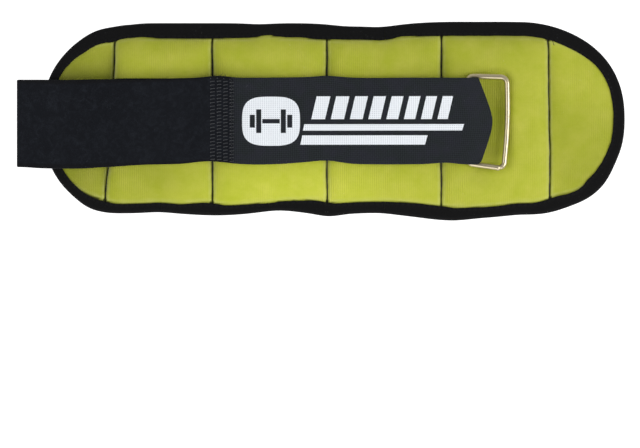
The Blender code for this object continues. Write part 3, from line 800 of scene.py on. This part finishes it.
def make_cloth():
    """The face and the back, each in five pieces that meet in the middle of the pockets."""
    for k in range(5):
        s, x, y = plan_grid(SPLITS[k], SPLITS[k + 1], 1.5, 74, 1.8, 1.8)
        z = face_height(s, x, y) - seam_dip(s)
        top = np.stack([x, y, z], -1)
        marks = knit_marks(s, x, y, k)
        face = shell(f"knit_face_over_seam_{k + 1}", top, top - [0, 0, 1.0], GREEN, None, marks)
        seam_points(k, BEND_REACH)
        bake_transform(face)
        nodes = [f"face_panel_pocket_{k + 1}"] if k < 4 else []
        nodes += ["face_panel_flap_left"] if k == 0 else []
        nodes += ["face_panel_flap_right"] if k == 4 else []
        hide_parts(*nodes)

        s, x, y = plan_grid(SPLITS[k], SPLITS[k + 1], 2.4, 30, 1.6, 1.6)
        inner = np.minimum(edge_top(x) - 8.2 - y, y - edge_low(x) - 6.9)
        lift = 1.25 * (1 - ease(inner / 1.6 + 1))
        d = np.min(np.abs(s[..., None] - SEAM_X), axis=-1)
        low = lift + 0.9 * np.exp(-((d / 1.1) ** 2)) + 0.05
        low = np.where((s < SEAM_X[0]) | (s > SEAM_X[4]), np.maximum(low, 0.3), low)
        back = shell(
            f"back_cloth_over_seam_{k + 1}",
            np.stack([x, y, np.minimum(low + 1.6, 2.75)], -1),
            np.stack([x, y, low], -1),
            BACK,
        )
        seam_points(k, BEND_REACH)
        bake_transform(back)
        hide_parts(*[n.replace("face", "back") for n in nodes])

        yy = np.linspace(edge_low(SEAM_X[k]) + 8.4, edge_top(SEAM_X[k]) - 9.4, 200)
        xx = SEAM_X[k] + lean(np.full_like(yy, SEAM_X[k]), yy)
        beat = np.sin(yy * 2 * math.pi / STITCH_PITCH)
        lift = 0.14 * np.sign(beat) * np.abs(beat) ** 0.6
        path = np.stack([xx, yy, 3.1 + lift], -1)
        rings, uv = cord_rings(path, 0.32, 8)
        line = sweep(f"seam_stitching_{k + 1}", rings, OLIVE_THREAD, uv)
        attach(line, ["pocket_1", "pocket_2", "pocket_3", "pocket_4", "flap_right"][k])
        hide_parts(f"seam_thread_{k + 1}")


def binding_rings(edge, inward, leg_top, leg_low, lift):
    """A folded tape: a C section, round at the fold, carried along the edge points.

    The section goes in along the top leg, round its end, back under it, round the inside of the
    fold, along the lower leg and back out; reach is measured in from the edge.
    """
    n = len(edge)
    a = np.linspace(-90, 90, 13) * math.pi / 180
    outer_r = 2.5
    outer = np.stack([outer_r * (1 - np.cos(a)), 2.55 + outer_r * np.sin(a)], -1)
    inner_r = outer_r - 0.95
    inner = np.stack([outer_r - inner_r * np.cos(a[::-2]), 2.55 + inner_r * np.sin(a[::-2])], -1)
    t = np.linspace(0, 1, 7)[1:]
    rows = []
    uv_across = []
    for k in range(n):
        top = leg_top[k]
        reach_out = outer_r + (top - outer_r) * t
        up = 5.05 + lift[k] * ease(t)
        line = np.concatenate([
            outer,
            np.stack([reach_out, up], -1),
            [[top + 0.12, 4.62 + lift[k]]],
            np.stack([reach_out[::-1], up[::-1] - 0.9], -1),
            inner,
            np.stack([outer_r + (leg_low[k] - outer_r) * t, np.full(6, 0.95)], -1),
            [[leg_low[k] + 0.12, 0.5]],
            np.stack([outer_r + (leg_low[k] - outer_r) * t[::-1], np.full(6, 0.05)], -1),
        ])
        rows.append(line)
        uv_across.append(top - line[:, 0])
    rows = np.array(rows)
    points = np.empty(rows.shape[:2] + (3,))
    points[..., :2] = edge[:, None] + inward[:, None] * rows[..., :1]
    points[..., 2] = rows[..., 1]
    run = np.concatenate([[0], np.cumsum(np.linalg.norm(np.diff(edge, axis=0), axis=1))])
    uv = np.stack([np.broadcast_to(run[:, None], rows.shape[:2]), np.array(uv_across)], -1) * 0.001
    return points, uv


def edge_path(start, end, upper, step):
    """Points along one edge from seam coordinate start to end."""
    s = along_axis(start, end, step, list(SEAM_X))
    y = edge_top(s) if upper else edge_low(s)
    return np.stack([s + lean(s, y), y], -1)


def end_path(left, meet):
    """Points round one end, from the upper edge at meet to the lower one, close together.

    Past the end's centre x = centre + reach cos(phi)^(2/p) and y = edge sin(phi)^(2/q).
    """
    cx, reach = (LEFT_X, -LEFT_A) if left else (RIGHT_X, RIGHT_A)
    phi = np.linspace(90, 0, 70)[1:] * math.pi / 180
    halves = []
    for edge, powers in ((edge_top, UPPER_POWERS), (edge_low, LOWER_POWERS)):
        p = powers[0 if left else 1][0]
        x = cx + reach * np.cos(phi) ** (2 / p)
        x[-1] = cx + reach
        y = edge(x)
        y[-1] = 0
        halves.append(np.stack([x + lean(x, y), y], -1))
    a, b = (cx + 0.8, meet) if left else (meet, cx - 0.8)
    upper, lower = edge_path(a, b, True, 2.0), edge_path(a, b, False, 2.0)
    if left:
        upper, lower = upper[::-1], lower[::-1]
    path = np.concatenate([upper, halves[0], halves[1][-2::-1], lower[::-1]])
    apart = np.linalg.norm(np.diff(path, axis=0), axis=1)
    return path[np.concatenate([[True], apart > 0.25])]


def add_binding(name, edge, k, nodes, turn):
    """One run of binding over seam k: its points, the inward normals and a slightly uneven reach."""
    tangent, _ = path_frames(np.concatenate([edge, np.zeros((len(edge), 1))], 1))
    inward = np.stack([-tangent[:, 1], tangent[:, 0]], -1) * turn
    x, y = edge[:, 0], edge[:, 1]
    upper = ease((y + 16.0) / 32.0)
    reach = tape_low(x) * (1 - upper) + tape_top(x) * upper
    reach = reach + 0.14 * ripple(x * 0.5 + y * 0.4, 2.0)
    lift = 0.12 + 0.12 * ripple(x * 0.3 + y * 0.2, 9.0)
    points, uv = binding_rings(edge, inward, reach, reach - 0.6, lift)
    tape = sweep(name, points, BINDING, uv)
    seam_points(k, BEND_REACH)
    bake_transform(tape)
    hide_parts(*nodes)


def make_binding():
    add_binding("binding_left_end", end_path(True, MIDS[0]), 0,
                ["edge_binding_left_end", "edge_binding_upper_pocket_1"], 1)
    add_binding("binding_right_end", end_path(False, MIDS[3]), 4,
                ["edge_binding_right_end", "edge_binding_lower_pocket_4"], -1)
    for k in (1, 2, 3):
        upper = edge_path(MIDS[k - 1], MIDS[k], True, 2.0)
        lower = edge_path(MIDS[k - 1], MIDS[k], False, 2.0)
        up_nodes = [f"edge_binding_upper_pocket_{k + 1}"]
        low_nodes = [f"edge_binding_lower_pocket_{k}"]
        add_binding(f"binding_upper_over_seam_{k + 1}", upper, k, up_nodes, -1)
        add_binding(f"binding_lower_over_seam_{k + 1}", lower, k, low_nodes, 1)


# ------------------------------------------------------------------ straps
def strap_top_y(x):
    """Upper edge of the strap: it stands out over the seams and in over the left pocket."""
    y = 24.2 - 0.7 * ease((-75.0 - x) / 90.0) + 0.3 * hump(x, -12.0, 22.0)
    y = y + 1.3 * hump(x, -61.0, 9.0) + 1.1 * hump(x, 4.0, 10.0) - 1.0 * hump(x, -108.0, 16.0)
    return y + 0.1 * ripple(x * 0.09, 2.0)


def strap_low_y(x):
    """Lower edge of the strap: it lies lower at the left, and rises where it passes over each seam."""
    y = -27.3 - 2.3 * ease((-95.0 - x) / 55.0)
    y = y + 1.9 * hump(x, -66.0, 13.0) + 2.1 * hump(x, 4.0, 12.0) + 0.9 * hump(x, 74.0, 9.0)
    y = y + 0.7 * hump(x, -12.0, 12.0) + 0.9 * hump(x, -180.0, 10.0)
    return y + 0.1 * ripple(x * 0.1, 5.0)


def band(name, path, thick, material, top_y=strap_top_y, low_y=strap_low_y, ny=36, pull=None, sag=None):
    """A webbing band: a rounded slab section carried along a path of (x, z) points.

    Its two long edges are half round. pull(y) draws the band's end back along the path to shape a
    rounded tip; without it, sag(x, y) is added to the height.
    """
    path = np.asarray(path, float)
    step = np.gradient(path, axis=0)
    step /= np.linalg.norm(step, axis=1, keepdims=True)
    normal = np.stack([-step[:, 1], step[:, 0]], -1)
    run = np.concatenate([[0], np.cumsum(np.linalg.norm(np.diff(path, axis=0), axis=1))])
    e = thick / 2
    c = np.linspace(0, 1, ny)
    a = np.linspace(90, -90, 7)[1:-1] * math.pi / 180
    share = np.concatenate([c, np.ones(5), c[::-1], np.zeros(5)])
    out = np.concatenate([np.zeros(ny), np.cos(a), np.zeros(ny), -np.cos(a)]) * e
    up = np.concatenate([np.ones(ny), np.sin(a), -np.ones(ny), -np.sin(a)]) * e
    lo = low_y(path[:, 0])[:, None] + e
    hi = top_y(path[:, 0])[:, None] - e
    y = lo + (hi - lo) * share[None] + out[None]
    x = path[:, :1] + normal[:, :1] * up[None]
    z = path[:, 1:] + normal[:, 1:] * up[None]
    if pull is not None:
        grip = np.clip((path[:, 0] - path[-1, 0] + 34.0) / 34.0, 0, 1)[:, None] ** 1.5
        drawn = pull(y) * grip
        z = z + np.interp(x - drawn, path[:, 0], path[:, 1]) - path[:, 1:]
        x = x - drawn
    elif sag is not None:
        z = z + sag(x, y)
    rings = np.stack([x, y, z], -1)
    middle = (hi + lo) / 2
    uv = np.stack([np.broadcast_to(run[:, None], y.shape), y - middle], -1) * 0.001
    return sweep(name, rings, material, uv)


def strap_centre(x):
    """Height of the face under the strap: the highest point across the strap's width."""
    x = np.asarray(x, float)
    y = np.linspace(-23.4, 22.2, 24)
    x, y = np.meshgrid(x, y, indexing="ij")
    return (face_height(x, x, y) - 0.6 * seam_dip(x)).max(axis=1)


def free_run(x):
    """Centre height of the smooth strap from the fold to its sewn end."""
    z = 10.2 + (16.75 - 10.2) * ease((x + 150.0) / 38.0)
    z = z - 0.55 * hump(x, -126.0, 9.0) + 0.12 * np.sin((x + 181) * 0.12)
    return z + (18.0 - 16.75) * ease((x + 79.0) / 11.0)


def lower_run(x):
    """Centre height of the strap on the left flap: on the cloth, then over the binding."""
    return 4.9 + 0.35 + (6.25 - 5.25) * ease((-143.0 - x) / 8.0)


def tip_run(x):
    """Centre height of the printed tip: out from under the smooth end, along, over the tab, down."""
    z = 16.5 + 1.0 * ease((x + 50.5) / 9.0) + 0.036 * np.maximum(0.0, x - 4.0)
    z = z - 0.35 * hump(x, 3.9, 14.0) - 0.25 * hump(x, 66.0, 12.0)
    return z - 2.6 * ease((x - 86.0) / 20.0)


def make_straps():
    e = 1.4
    lower_x = np.arange(-136.0, -178.9, -1.5)
    lower = np.stack([lower_x, lower_run(lower_x)], -1)
    cx, cz, r = -178.9, 8.22, 2.0
    a = np.linspace(-90, -270, 25) * math.pi / 180
    fold = np.stack([cx + r * np.cos(a), cz + r * np.sin(a)], -1)
    upper_x = np.arange(-177.5, -52.9, 1.5)
    upper = np.stack([upper_x, free_run(upper_x)], -1)
    strap = band("smooth_strap", np.concatenate([lower, fold, upper]), e, LOOP)
    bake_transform(strap)
    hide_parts("free_strap", "face_strap_flap_left")

    spans = [(-136.4, MIDS[0]), (MIDS[0], MIDS[1]), (MIDS[1], MIDS[2])]
    for k, (a, b) in enumerate(spans):
        s = along_axis(a, b, 1.6, list(SEAM_X))
        s, v = np.meshgrid(s, np.linspace(-23.6, 24.0, 30), indexing="ij")
        x = s + lean(s, v)
        z = face_height(s, x, v) - 0.55 * seam_dip(s) + 0.25
        top = np.stack([x, v, z + 1.15], -1)
        run = band_shell(f"face_strap_over_seam_{k + 1}", top, 1.1)
        seam_points(k, BEND_REACH)
        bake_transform(run)
        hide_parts(f"face_strap_pocket_{k + 1}")
    make_tab()
    make_tip()
    make_join()


def band_shell(name, top, thick):
    """A band that lies on the cloth: the top grid, and the same grid a thickness lower."""
    return shell(name, top, top - [0, 0, thick], LOOP)


def make_tab():
    """The end of the face strap: over seam 4, round the ring's bar in a tight loop, and back."""
    r = 1.5 + 0.2 + 0.55
    x = along_axis(MIDS[2], 84.0, 1.2, list(SEAM_X))
    z = strap_centre(x) + 0.25 + 0.55
    near_bar = ease((x - 74.5) / 6.0)
    z = z * (1 - near_bar) + np.minimum(z, RING_Z - r) * near_bar
    a = np.linspace(-90, 90, 21) * math.pi / 180
    loop = np.stack([RING_X + r * np.cos(a), RING_Z + r * np.sin(a)], -1)
    bx = np.linspace(86.4, 75.4, 12)
    fall = ease((86.4 - bx) / 9.0)
    face = strap_centre(bx) + 0.25 + 1.1 + 0.15 + 0.55
    bz = (RING_Z + r) * (1 - fall) + np.maximum(face, 10.4) * fall
    path = np.concatenate([np.stack([x, z], -1), [[86.0, RING_Z - r]], loop, np.stack([bx, bz], -1)])

    def follow(px, py):
        """At its start the tab follows the padding across its width, like the strap it goes on from."""
        share = 1 - ease((px - 48.0) / 16.0)
        middle = np.interp(px, x, strap_centre(x))
        return share * (face_height(px, px, py) - middle)

    tab = band("ring_tab_webbing", path, 1.1, LOOP,
               lambda x: 24.0 - 1.8 * ease((x - 44.0) / 24.0),
               lambda x: -23.6 + 0.2 * ease((x - 44.0) / 24.0), 30, sag=follow)
    seam_points(3, 1.8)
    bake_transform(tab)
    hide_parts("ring_tab")
    y = np.linspace(-21.0, 20.0, 160)
    for number, x0 in enumerate((80.2, 82.6)):
        z0 = float(np.interp(x0, bx[::-1], bz[::-1])) + 0.62
        wave = 0.1 * np.abs(np.sin(y * math.pi / 2.6))
        rings, uv = cord_rings(np.stack([np.full_like(y, x0), y, z0 + wave], -1), 0.22, 8)
        line = sweep(f"tab_stitching_{number + 1}", rings, BLACK_THREAD, uv)
        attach(line, "pocket_4")
        if number == 0:
            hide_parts("ring_tab_thread")


def tip_pull(y):
    """How far the tip's end draws back at y: two slopes off a blunt nose, and soft corners."""
    blunt = 2.6
    d = y + 1.8
    slope = np.sqrt((np.where(d > 0, 0.41, 0.37) * d) ** 2 + blunt ** 2) - blunt
    corner = np.maximum(0, np.abs(y + 0.9) - 24.4)
    return slope + 0.5 * corner ** 2


def make_tip():
    x = np.concatenate([np.arange(-66.6, -42.0, 0.8), np.arange(-42.0, 102.1, 1.5), [102.1]])
    path = np.stack([x, tip_run(x)], -1)
    tip = band("printed_tip_webbing", path, 1.2, TIP, pull=tip_pull, ny=44)
    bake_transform(tip)
    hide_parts("tip_webbing", "tip_webbing_sewn_end")

    x = np.arange(-38.0, 92.0, 2.0)
    z = tip_run(x) - 0.6 - 0.1 - 0.35
    pad = band("hook_side", np.stack([x, z], -1), 0.7, HOOKS,
               lambda x: np.full_like(x, 23.0), lambda x: np.full_like(x, -24.4), 30)
    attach(pad, "strap_tip")
    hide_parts("hook_pad")


def hook_side():
    mat, m, shader, place = start_material("moulded_hooks", 0.55, 0.0, 0.45)
    cell = m.node("ShaderNodeTexVoronoi", distance="CHEBYCHEV")
    m.join(uv_place(m), cell.inputs["Vector"])
    cell.inputs["Scale"].default_value = 900.0
    cell.inputs["Randomness"].default_value = 0.25
    stub = m.ramp(cell.outputs["Distance"], 0.18, 0.4, 1.0, 0.0)
    tone = m.group(TONE, Vector=place, Depth=0.3)
    m.join(scaled(m, m.mix(stub, srgb(18, 18, 20), srgb(52, 53, 57)), tone["Factor"]),
           shader.inputs["Base Color"])
    add_bump(m, shader, stub, 0.0004, 0.9)
    return mat


HOOKS = hook_side()


def make_join():
    """Four rows of bar stitches over the smooth strap's end.

    Each stitch crosses the row on top of the webbing at a slight slant; the thread goes back
    underneath, where it can't be seen.
    """
    rows = [(-64.1, 1.3), (-60.2, 1.25), (-56.4, 1.2), (-52.7, 1.2)]
    pitch, over = 2.02, 0.42
    for number, (x0, reach) in enumerate(rows):
        lo, hi = strap_low_y(np.array([x0]))[0] + 1.2, strap_top_y(np.array([x0]))[0] - 1.2
        count = int((hi - lo) / pitch)
        t = np.linspace(0, count, count * 20 + 1)
        phase = t % 1.0
        cross = np.clip(phase / over, 0, 1)
        back = np.clip((phase - over) / (1 - over), 0, 1)
        side = np.where(phase < over, 2 * cross - 1, 1 - 2 * ease(back))
        step = np.floor(t) + 0.09 * cross + 0.91 * back
        y = lo + (hi - lo) * step / count + 0.06 * ripple(t * 1.1, number + 3.0)
        x = x0 + side * reach + 0.07 * ripple(t * 1.3, number)
        above = 0.12 + 0.16 * (1 - side ** 2)
        under = -0.55 * np.sin(math.pi * np.clip(back * 1.25, 0, 1)) ** 0.5
        level = free_run(np.minimum(x, -53.0)) + 0.7
        if number == 3:
            down = ease((x + 53.4) / 0.8)
            level = level * (1 - down) + (tip_run(x) + 0.62) * down
        z = level + np.where(phase < over, above, under)
        rings, uv = cord_rings(np.stack([x, y, z], -1), 0.23, 6)
        row = sweep(f"join_zigzag_{number + 1}", rings, JOIN_THREAD, uv)
        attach(row, "free_strap")
        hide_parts(f"join_stitch_row_{number + 1}")


# ------------------------------------------------------------------ print on the tip
def print_patch(name, corners, nu, nv, lift=0.07, material=None):
    """Ink between four plan corners, as a grid laid on the tip's upper face."""
    p = np.array(corners, float)
    u, v = np.meshgrid(np.linspace(0, 1, nu), np.linspace(0, 1, nv), indexing="ij")
    u, v = u[..., None], v[..., None]
    xy = p[0] * (1 - u) * (1 - v) + p[1] * u * (1 - v) + p[2] * u * v + p[3] * (1 - u) * v
    return ink_sheet(name, xy, lift, material)


def ink_sheet(name, xy, lift, material):
    """A very thin closed film whose plan is the grid xy and whose height is the tip's top."""
    z = tip_run(xy[..., 0]) + 0.6 + lift
    top = np.concatenate([xy, z[..., None]], -1)
    film = shell(name, top, top - [0, 0, 0.05], material or INK,
                 np.stack([xy[..., 0] + 66.6, xy[..., 1] + 0.6], -1) * 0.001)
    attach(film, "strap_tip")
    return film


def round_patch(name, cx, cy, rx, ry, power, lift):
    """Ink inside |x/rx|^power + |y/ry|^power = 1, about the centre cx, cy."""
    a = np.linspace(0, 2 * np.pi, 73)
    c, s = np.cos(a), np.sin(a)
    r = (np.abs(c) ** power + np.abs(s) ** power) ** (-1 / power)
    t = np.linspace(0.02, 1, 14)[:, None]
    xy = np.stack([cx + rx * r * c * t, cy + ry * r * s * t], -1)
    z = tip_run(xy[..., 0]) + 0.6 + lift
    top = np.concatenate([xy, z[..., None]], -1)[:, :-1]
    n, m = top.shape[:2]
    faces = grid_quads(n, m, 0, True)
    low = grid_quads(n, m, n * m, True)
    k = np.arange(m)
    j = (k + 1) % m
    rims = []
    for base in (0, (n - 1) * m):
        rims.append(np.stack([base + k, base + j, n * m + base + j, n * m + base + k], -1))
    verts = np.concatenate([top.reshape(-1, 3), top.reshape(-1, 3) - [0, 0, 0.05]])
    uv = (verts[:, :2] + [66.6, 0.6]) * 0.001
    film = surface(name, verts, np.concatenate([faces, low] + rims).tolist(), INK, uv)
    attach(film, "strap_tip")


def make_print():
    """A plain badge with a dumbbell, a row of slanted bars and two slanted stripes; no lettering."""
    round_patch("print_badge", -29.4, -1.6, 17.2, 14.6, 3.2, 0.07)
    for side, x0 in (("left", -38.2), ("right", -23.6)):
        print_patch(f"print_plate_{side}", [(x0, -8.6), (x0 + 3.0, -8.6), (x0 + 3.0, 5.4), (x0, 5.4)],
                    4, 12, 0.12, TIP)
    for side, x0 in (("left", -42.0), ("right", -19.8)):
        print_patch(f"print_small_plate_{side}", [(x0, -5.4), (x0 + 3.0, -5.4), (x0 + 3.0, 2.2), (x0, 2.2)],
                    4, 8, 0.12, TIP)
    print_patch("print_handle", [(-34.6, -2.9), (-24.2, -2.9), (-24.2, -0.3), (-34.6, -0.3)],
                8, 3, 0.12, TIP)
    x, foot, head, gap, slope = -5.5, -0.4, 13.2, 3.4, 3.2
    for k in range(8):
        wide = 8.2 - 0.3 * k
        corners = [(x, foot), (x + wide, foot), (x + wide + slope, head), (x + slope, head)]
        print_patch(f"print_bar_{k + 1}", corners, 8, 14)
        x += wide + gap
    print_patch("print_long_stripe", [(-10.5, -7.2), (84.0, -7.2), (85.2, -3.4), (-9.6, -3.4)], 70, 5)
    print_patch("print_low_stripe", [(-12.0, -15.6), (62.0, -15.6), (63.6, -10.0), (-10.8, -10.0)], 60, 6)


# ------------------------------------------------------------------ ring
def rounded_path(corners, radii, step):
    """A closed path of points about a step apart, straight between corners and round at each."""
    corners = np.array(corners, float)
    parts = []
    for k, (c, r) in enumerate(zip(corners, radii)):
        into, away = c - corners[k - 1], corners[(k + 1) % len(corners)] - c
        into, away = into / np.linalg.norm(into), away / np.linalg.norm(away)
        turn = math.acos(float(np.clip(into @ away, -1, 1)))
        cut = r * math.tan(turn / 2)
        start, side = c - into * cut, np.array([-into[1], into[0]])
        a = np.linspace(0, turn, 13)[:, None]
        parts.append(start + into * r * np.sin(a) + side * r * (1 - np.cos(a)))
    path = []
    for k, arc in enumerate(parts):
        nearest = parts[(k + 1) % len(parts)][0]
        n = max(3, int(np.linalg.norm(nearest - arc[-1]) / step))
        t = np.linspace(0, 1, n + 1)[1:-1, None]
        path += [arc, arc[-1] * (1 - t) + nearest * t]
    return np.concatenate(path)


def make_ring():
    """The wire ring: a rounded rectangle of round wire, its far bar slightly bowed, with a weld."""
    corners = [(RING_X, -26.6), (109.4, -29.7), (111.3, 24.8), (RING_X, 25.4)]
    path = rounded_path(corners, (3.4, 3.6, 4.0, 3.4), 1.1)
    on_far = np.clip((path[:, 1] + 25.0) / 46.0, 0, 1) * (path[:, 0] > 105.0)
    path[:, 0] += 0.9 * np.sin(on_far * math.pi)
    path = np.concatenate([path, np.full((len(path), 1), RING_Z)], 1)
    d = np.linalg.norm(path[:, :2] - [105.4, -29.3], axis=1)
    radius = 1.58 + 0.24 * np.exp(-((d / 0.9) ** 2)) - 0.3 * np.exp(-(((d - 1.5) / 0.45) ** 2))
    rings, uv = cord_rings(path, radius, 20, closed=True)
    ring = sweep("nickel_ring", rings, NICKEL, uv, closed=True)
    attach(ring, "ring")
    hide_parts("ring")


def make_fibres():
    """Short black fibres frayed from the join's upper edge."""
    t = np.linspace(0, 1, 14)
    for number in range(7):
        turn = 1.1 + 0.75 * math.sin(number * 2.3)
        x0, y0 = -63.5 + 1.15 * number, 25.2 + 0.12 * math.sin(number * 5.1)
        reach = 1.6 + 0.7 * math.sin(number * 3.7)
        x = x0 + reach * np.cos(turn) * t + 0.35 * np.sin(t * 4 + number)
        y = y0 + reach * abs(np.sin(turn)) * t
        z = 16.9 + 0.5 * t + 0.2 * np.sin(t * 5 + number)
        rings, uv = cord_rings(np.stack([x, y, z], -1), 0.14 * (1 - 0.6 * t), 5)
        fibre = sweep(f"join_fibre_{number + 1}", rings, BLACK_THREAD, uv)
        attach(fibre, "free_strap")


def make_loose_thread():
    """The short tail of seam thread left at the upper end of seam 5."""
    t = np.linspace(0, 1, 40)
    x = 136.6 + 4.6 * t + 0.8 * np.sin(t * 5)
    y = 47.4 - 3.2 * t + 0.5 * np.sin(t * 7)
    z = 5.7 + 0.9 * np.sin(t * 3.1)
    rings, uv = cord_rings(np.stack([x, y, z], -1), 0.2 * (1 - 0.5 * t), 6)
    tail = sweep("loose_thread_tail", rings, OLIVE_THREAD, uv)
    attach(tail, "flap_right")


# ------------------------------------------------------------------ hidden pieces
def make_inside():
    """A pouch in each pocket, just under the face, and the loose shot that fills it."""
    for k in range(4):
        for name, node, inset, gap, mat, slot in (
            ("sewn_pouch", "inner_pouch", 4.2, 1.5, POUCH, "pouch_cloth"),
            ("shot_filling", "shot_fill", 5.0, 2.3, SHOT, "iron_shot"),
        ):
            s = np.linspace(SEAM_X[k] + inset, SEAM_X[k + 1] - inset, 40)
            top, low = face_limits(s)
            v = np.linspace(0, 1, 50)
            y = low[:, None] + inset + (top - low - 2 * inset)[:, None] * v
            s = np.broadcast_to(s[:, None], y.shape)
            x = s + lean(s, y)
            floor = 2.75 + (gap - 1.5)
            roof = np.maximum(face_height(s, x, y) - gap, floor + 0.3)
            piece = shell(f"{name}_{k + 1}", np.stack([x, y, roof], -1),
                          np.stack([x, y, np.full_like(x, floor)], -1), mat)
            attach(piece, f"pocket_{k + 1}")
            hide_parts(f"{node}_{k + 1}")


make_cloth()
make_binding()
make_straps()
make_print()
make_ring()
make_loose_thread()
make_fibres()
make_inside()


# ------------------------------------------------------------------ floor, light, camera
FLOOR_Z = -0.16  # low enough that the cuff, bent round from the second pocket, stays above it
FLOOR_HALF = 6
VIEW_WIDTH = 0.384  # metres across the view at the height of the cuff's middle
LENS, SENSOR = 150, 36
# name, place, (width, height), power
SOFTBOXES = [
    ("front_softbox", (-0.05, -1.3, 0.75), (1.4, 0.8), 7.0),
    ("right_softbox", (1.2, -0.2, 1.1), (0.9, 1.2), 14.5),
    ("left_softbox", (-1.2, -0.2, 1.1), (0.9, 1.2), 6.0),
]


def make_stage():
    mesh = bpy.data.meshes.new("floor")
    h = FLOOR_HALF
    corners = [(-h, -h, FLOOR_Z), (h, -h, FLOOR_Z), (h, h, FLOOR_Z), (-h, h, FLOOR_Z)]
    mesh.from_pydata(corners, [], [(0, 1, 2, 3)])
    floor = bpy.data.objects.new("floor", mesh)
    bpy.context.scene.collection.objects.link(floor)
    mat = bpy.data.materials.new("pale_floor")
    mat.use_nodes = True
    shader = mat.node_tree.nodes["Principled BSDF"]
    shader.inputs["Base Color"].default_value = (0.5, 0.5, 0.5, 1)
    shader.inputs["Roughness"].default_value = 0.9
    shader.inputs["Specular IOR Level"].default_value = 0.0
    shader.inputs["Emission Color"].default_value = (1, 1, 1, 1)
    shader.inputs["Emission Strength"].default_value = 0.85
    mesh.materials.append(mat)

    world = bpy.data.worlds.new("studio")
    bpy.context.scene.world = world
    world.use_nodes = True
    w = Maker(world.node_tree)
    _, _, up = w.parts(w.node("ShaderNodeTexCoord").outputs["Generated"])
    dim = w.math("MULTIPLY", w.ramp(up, -0.05, 0.4, 0.3, 1.0), w.ramp(up, 0.75, 0.96, 1.0, 0.45))
    sky = world.node_tree.nodes["Background"]
    sky.inputs["Color"].default_value = (1, 1, 1, 1)
    w.join(w.math("MULTIPLY", dim, 0.55), sky.inputs["Strength"])

    for name, place, size, power in SOFTBOXES:
        light = bpy.data.lights.new(name, "AREA")
        light.shape = "RECTANGLE"
        light.size, light.size_y = size
        light.energy = power
        obj = bpy.data.objects.new(name, light)
        obj.location = place
        aim = -Vector(place)
        obj.rotation_euler = aim.to_track_quat("-Z", "Y").to_euler()
        bpy.context.scene.collection.objects.link(obj)

    camera = bpy.data.cameras.new("camera")
    camera.lens = LENS
    camera.sensor_width = SENSOR
    camera.clip_end = 50
    obj = bpy.data.objects.new("camera", camera)
    obj.location = (-0.0003, -0.0627, VIEW_WIDTH * LENS / SENSOR + 0.003)
    bpy.context.scene.collection.objects.link(obj)
    bpy.context.scene.camera = obj
    bpy.context.scene.view_settings.view_transform = "Standard"


make_stage()
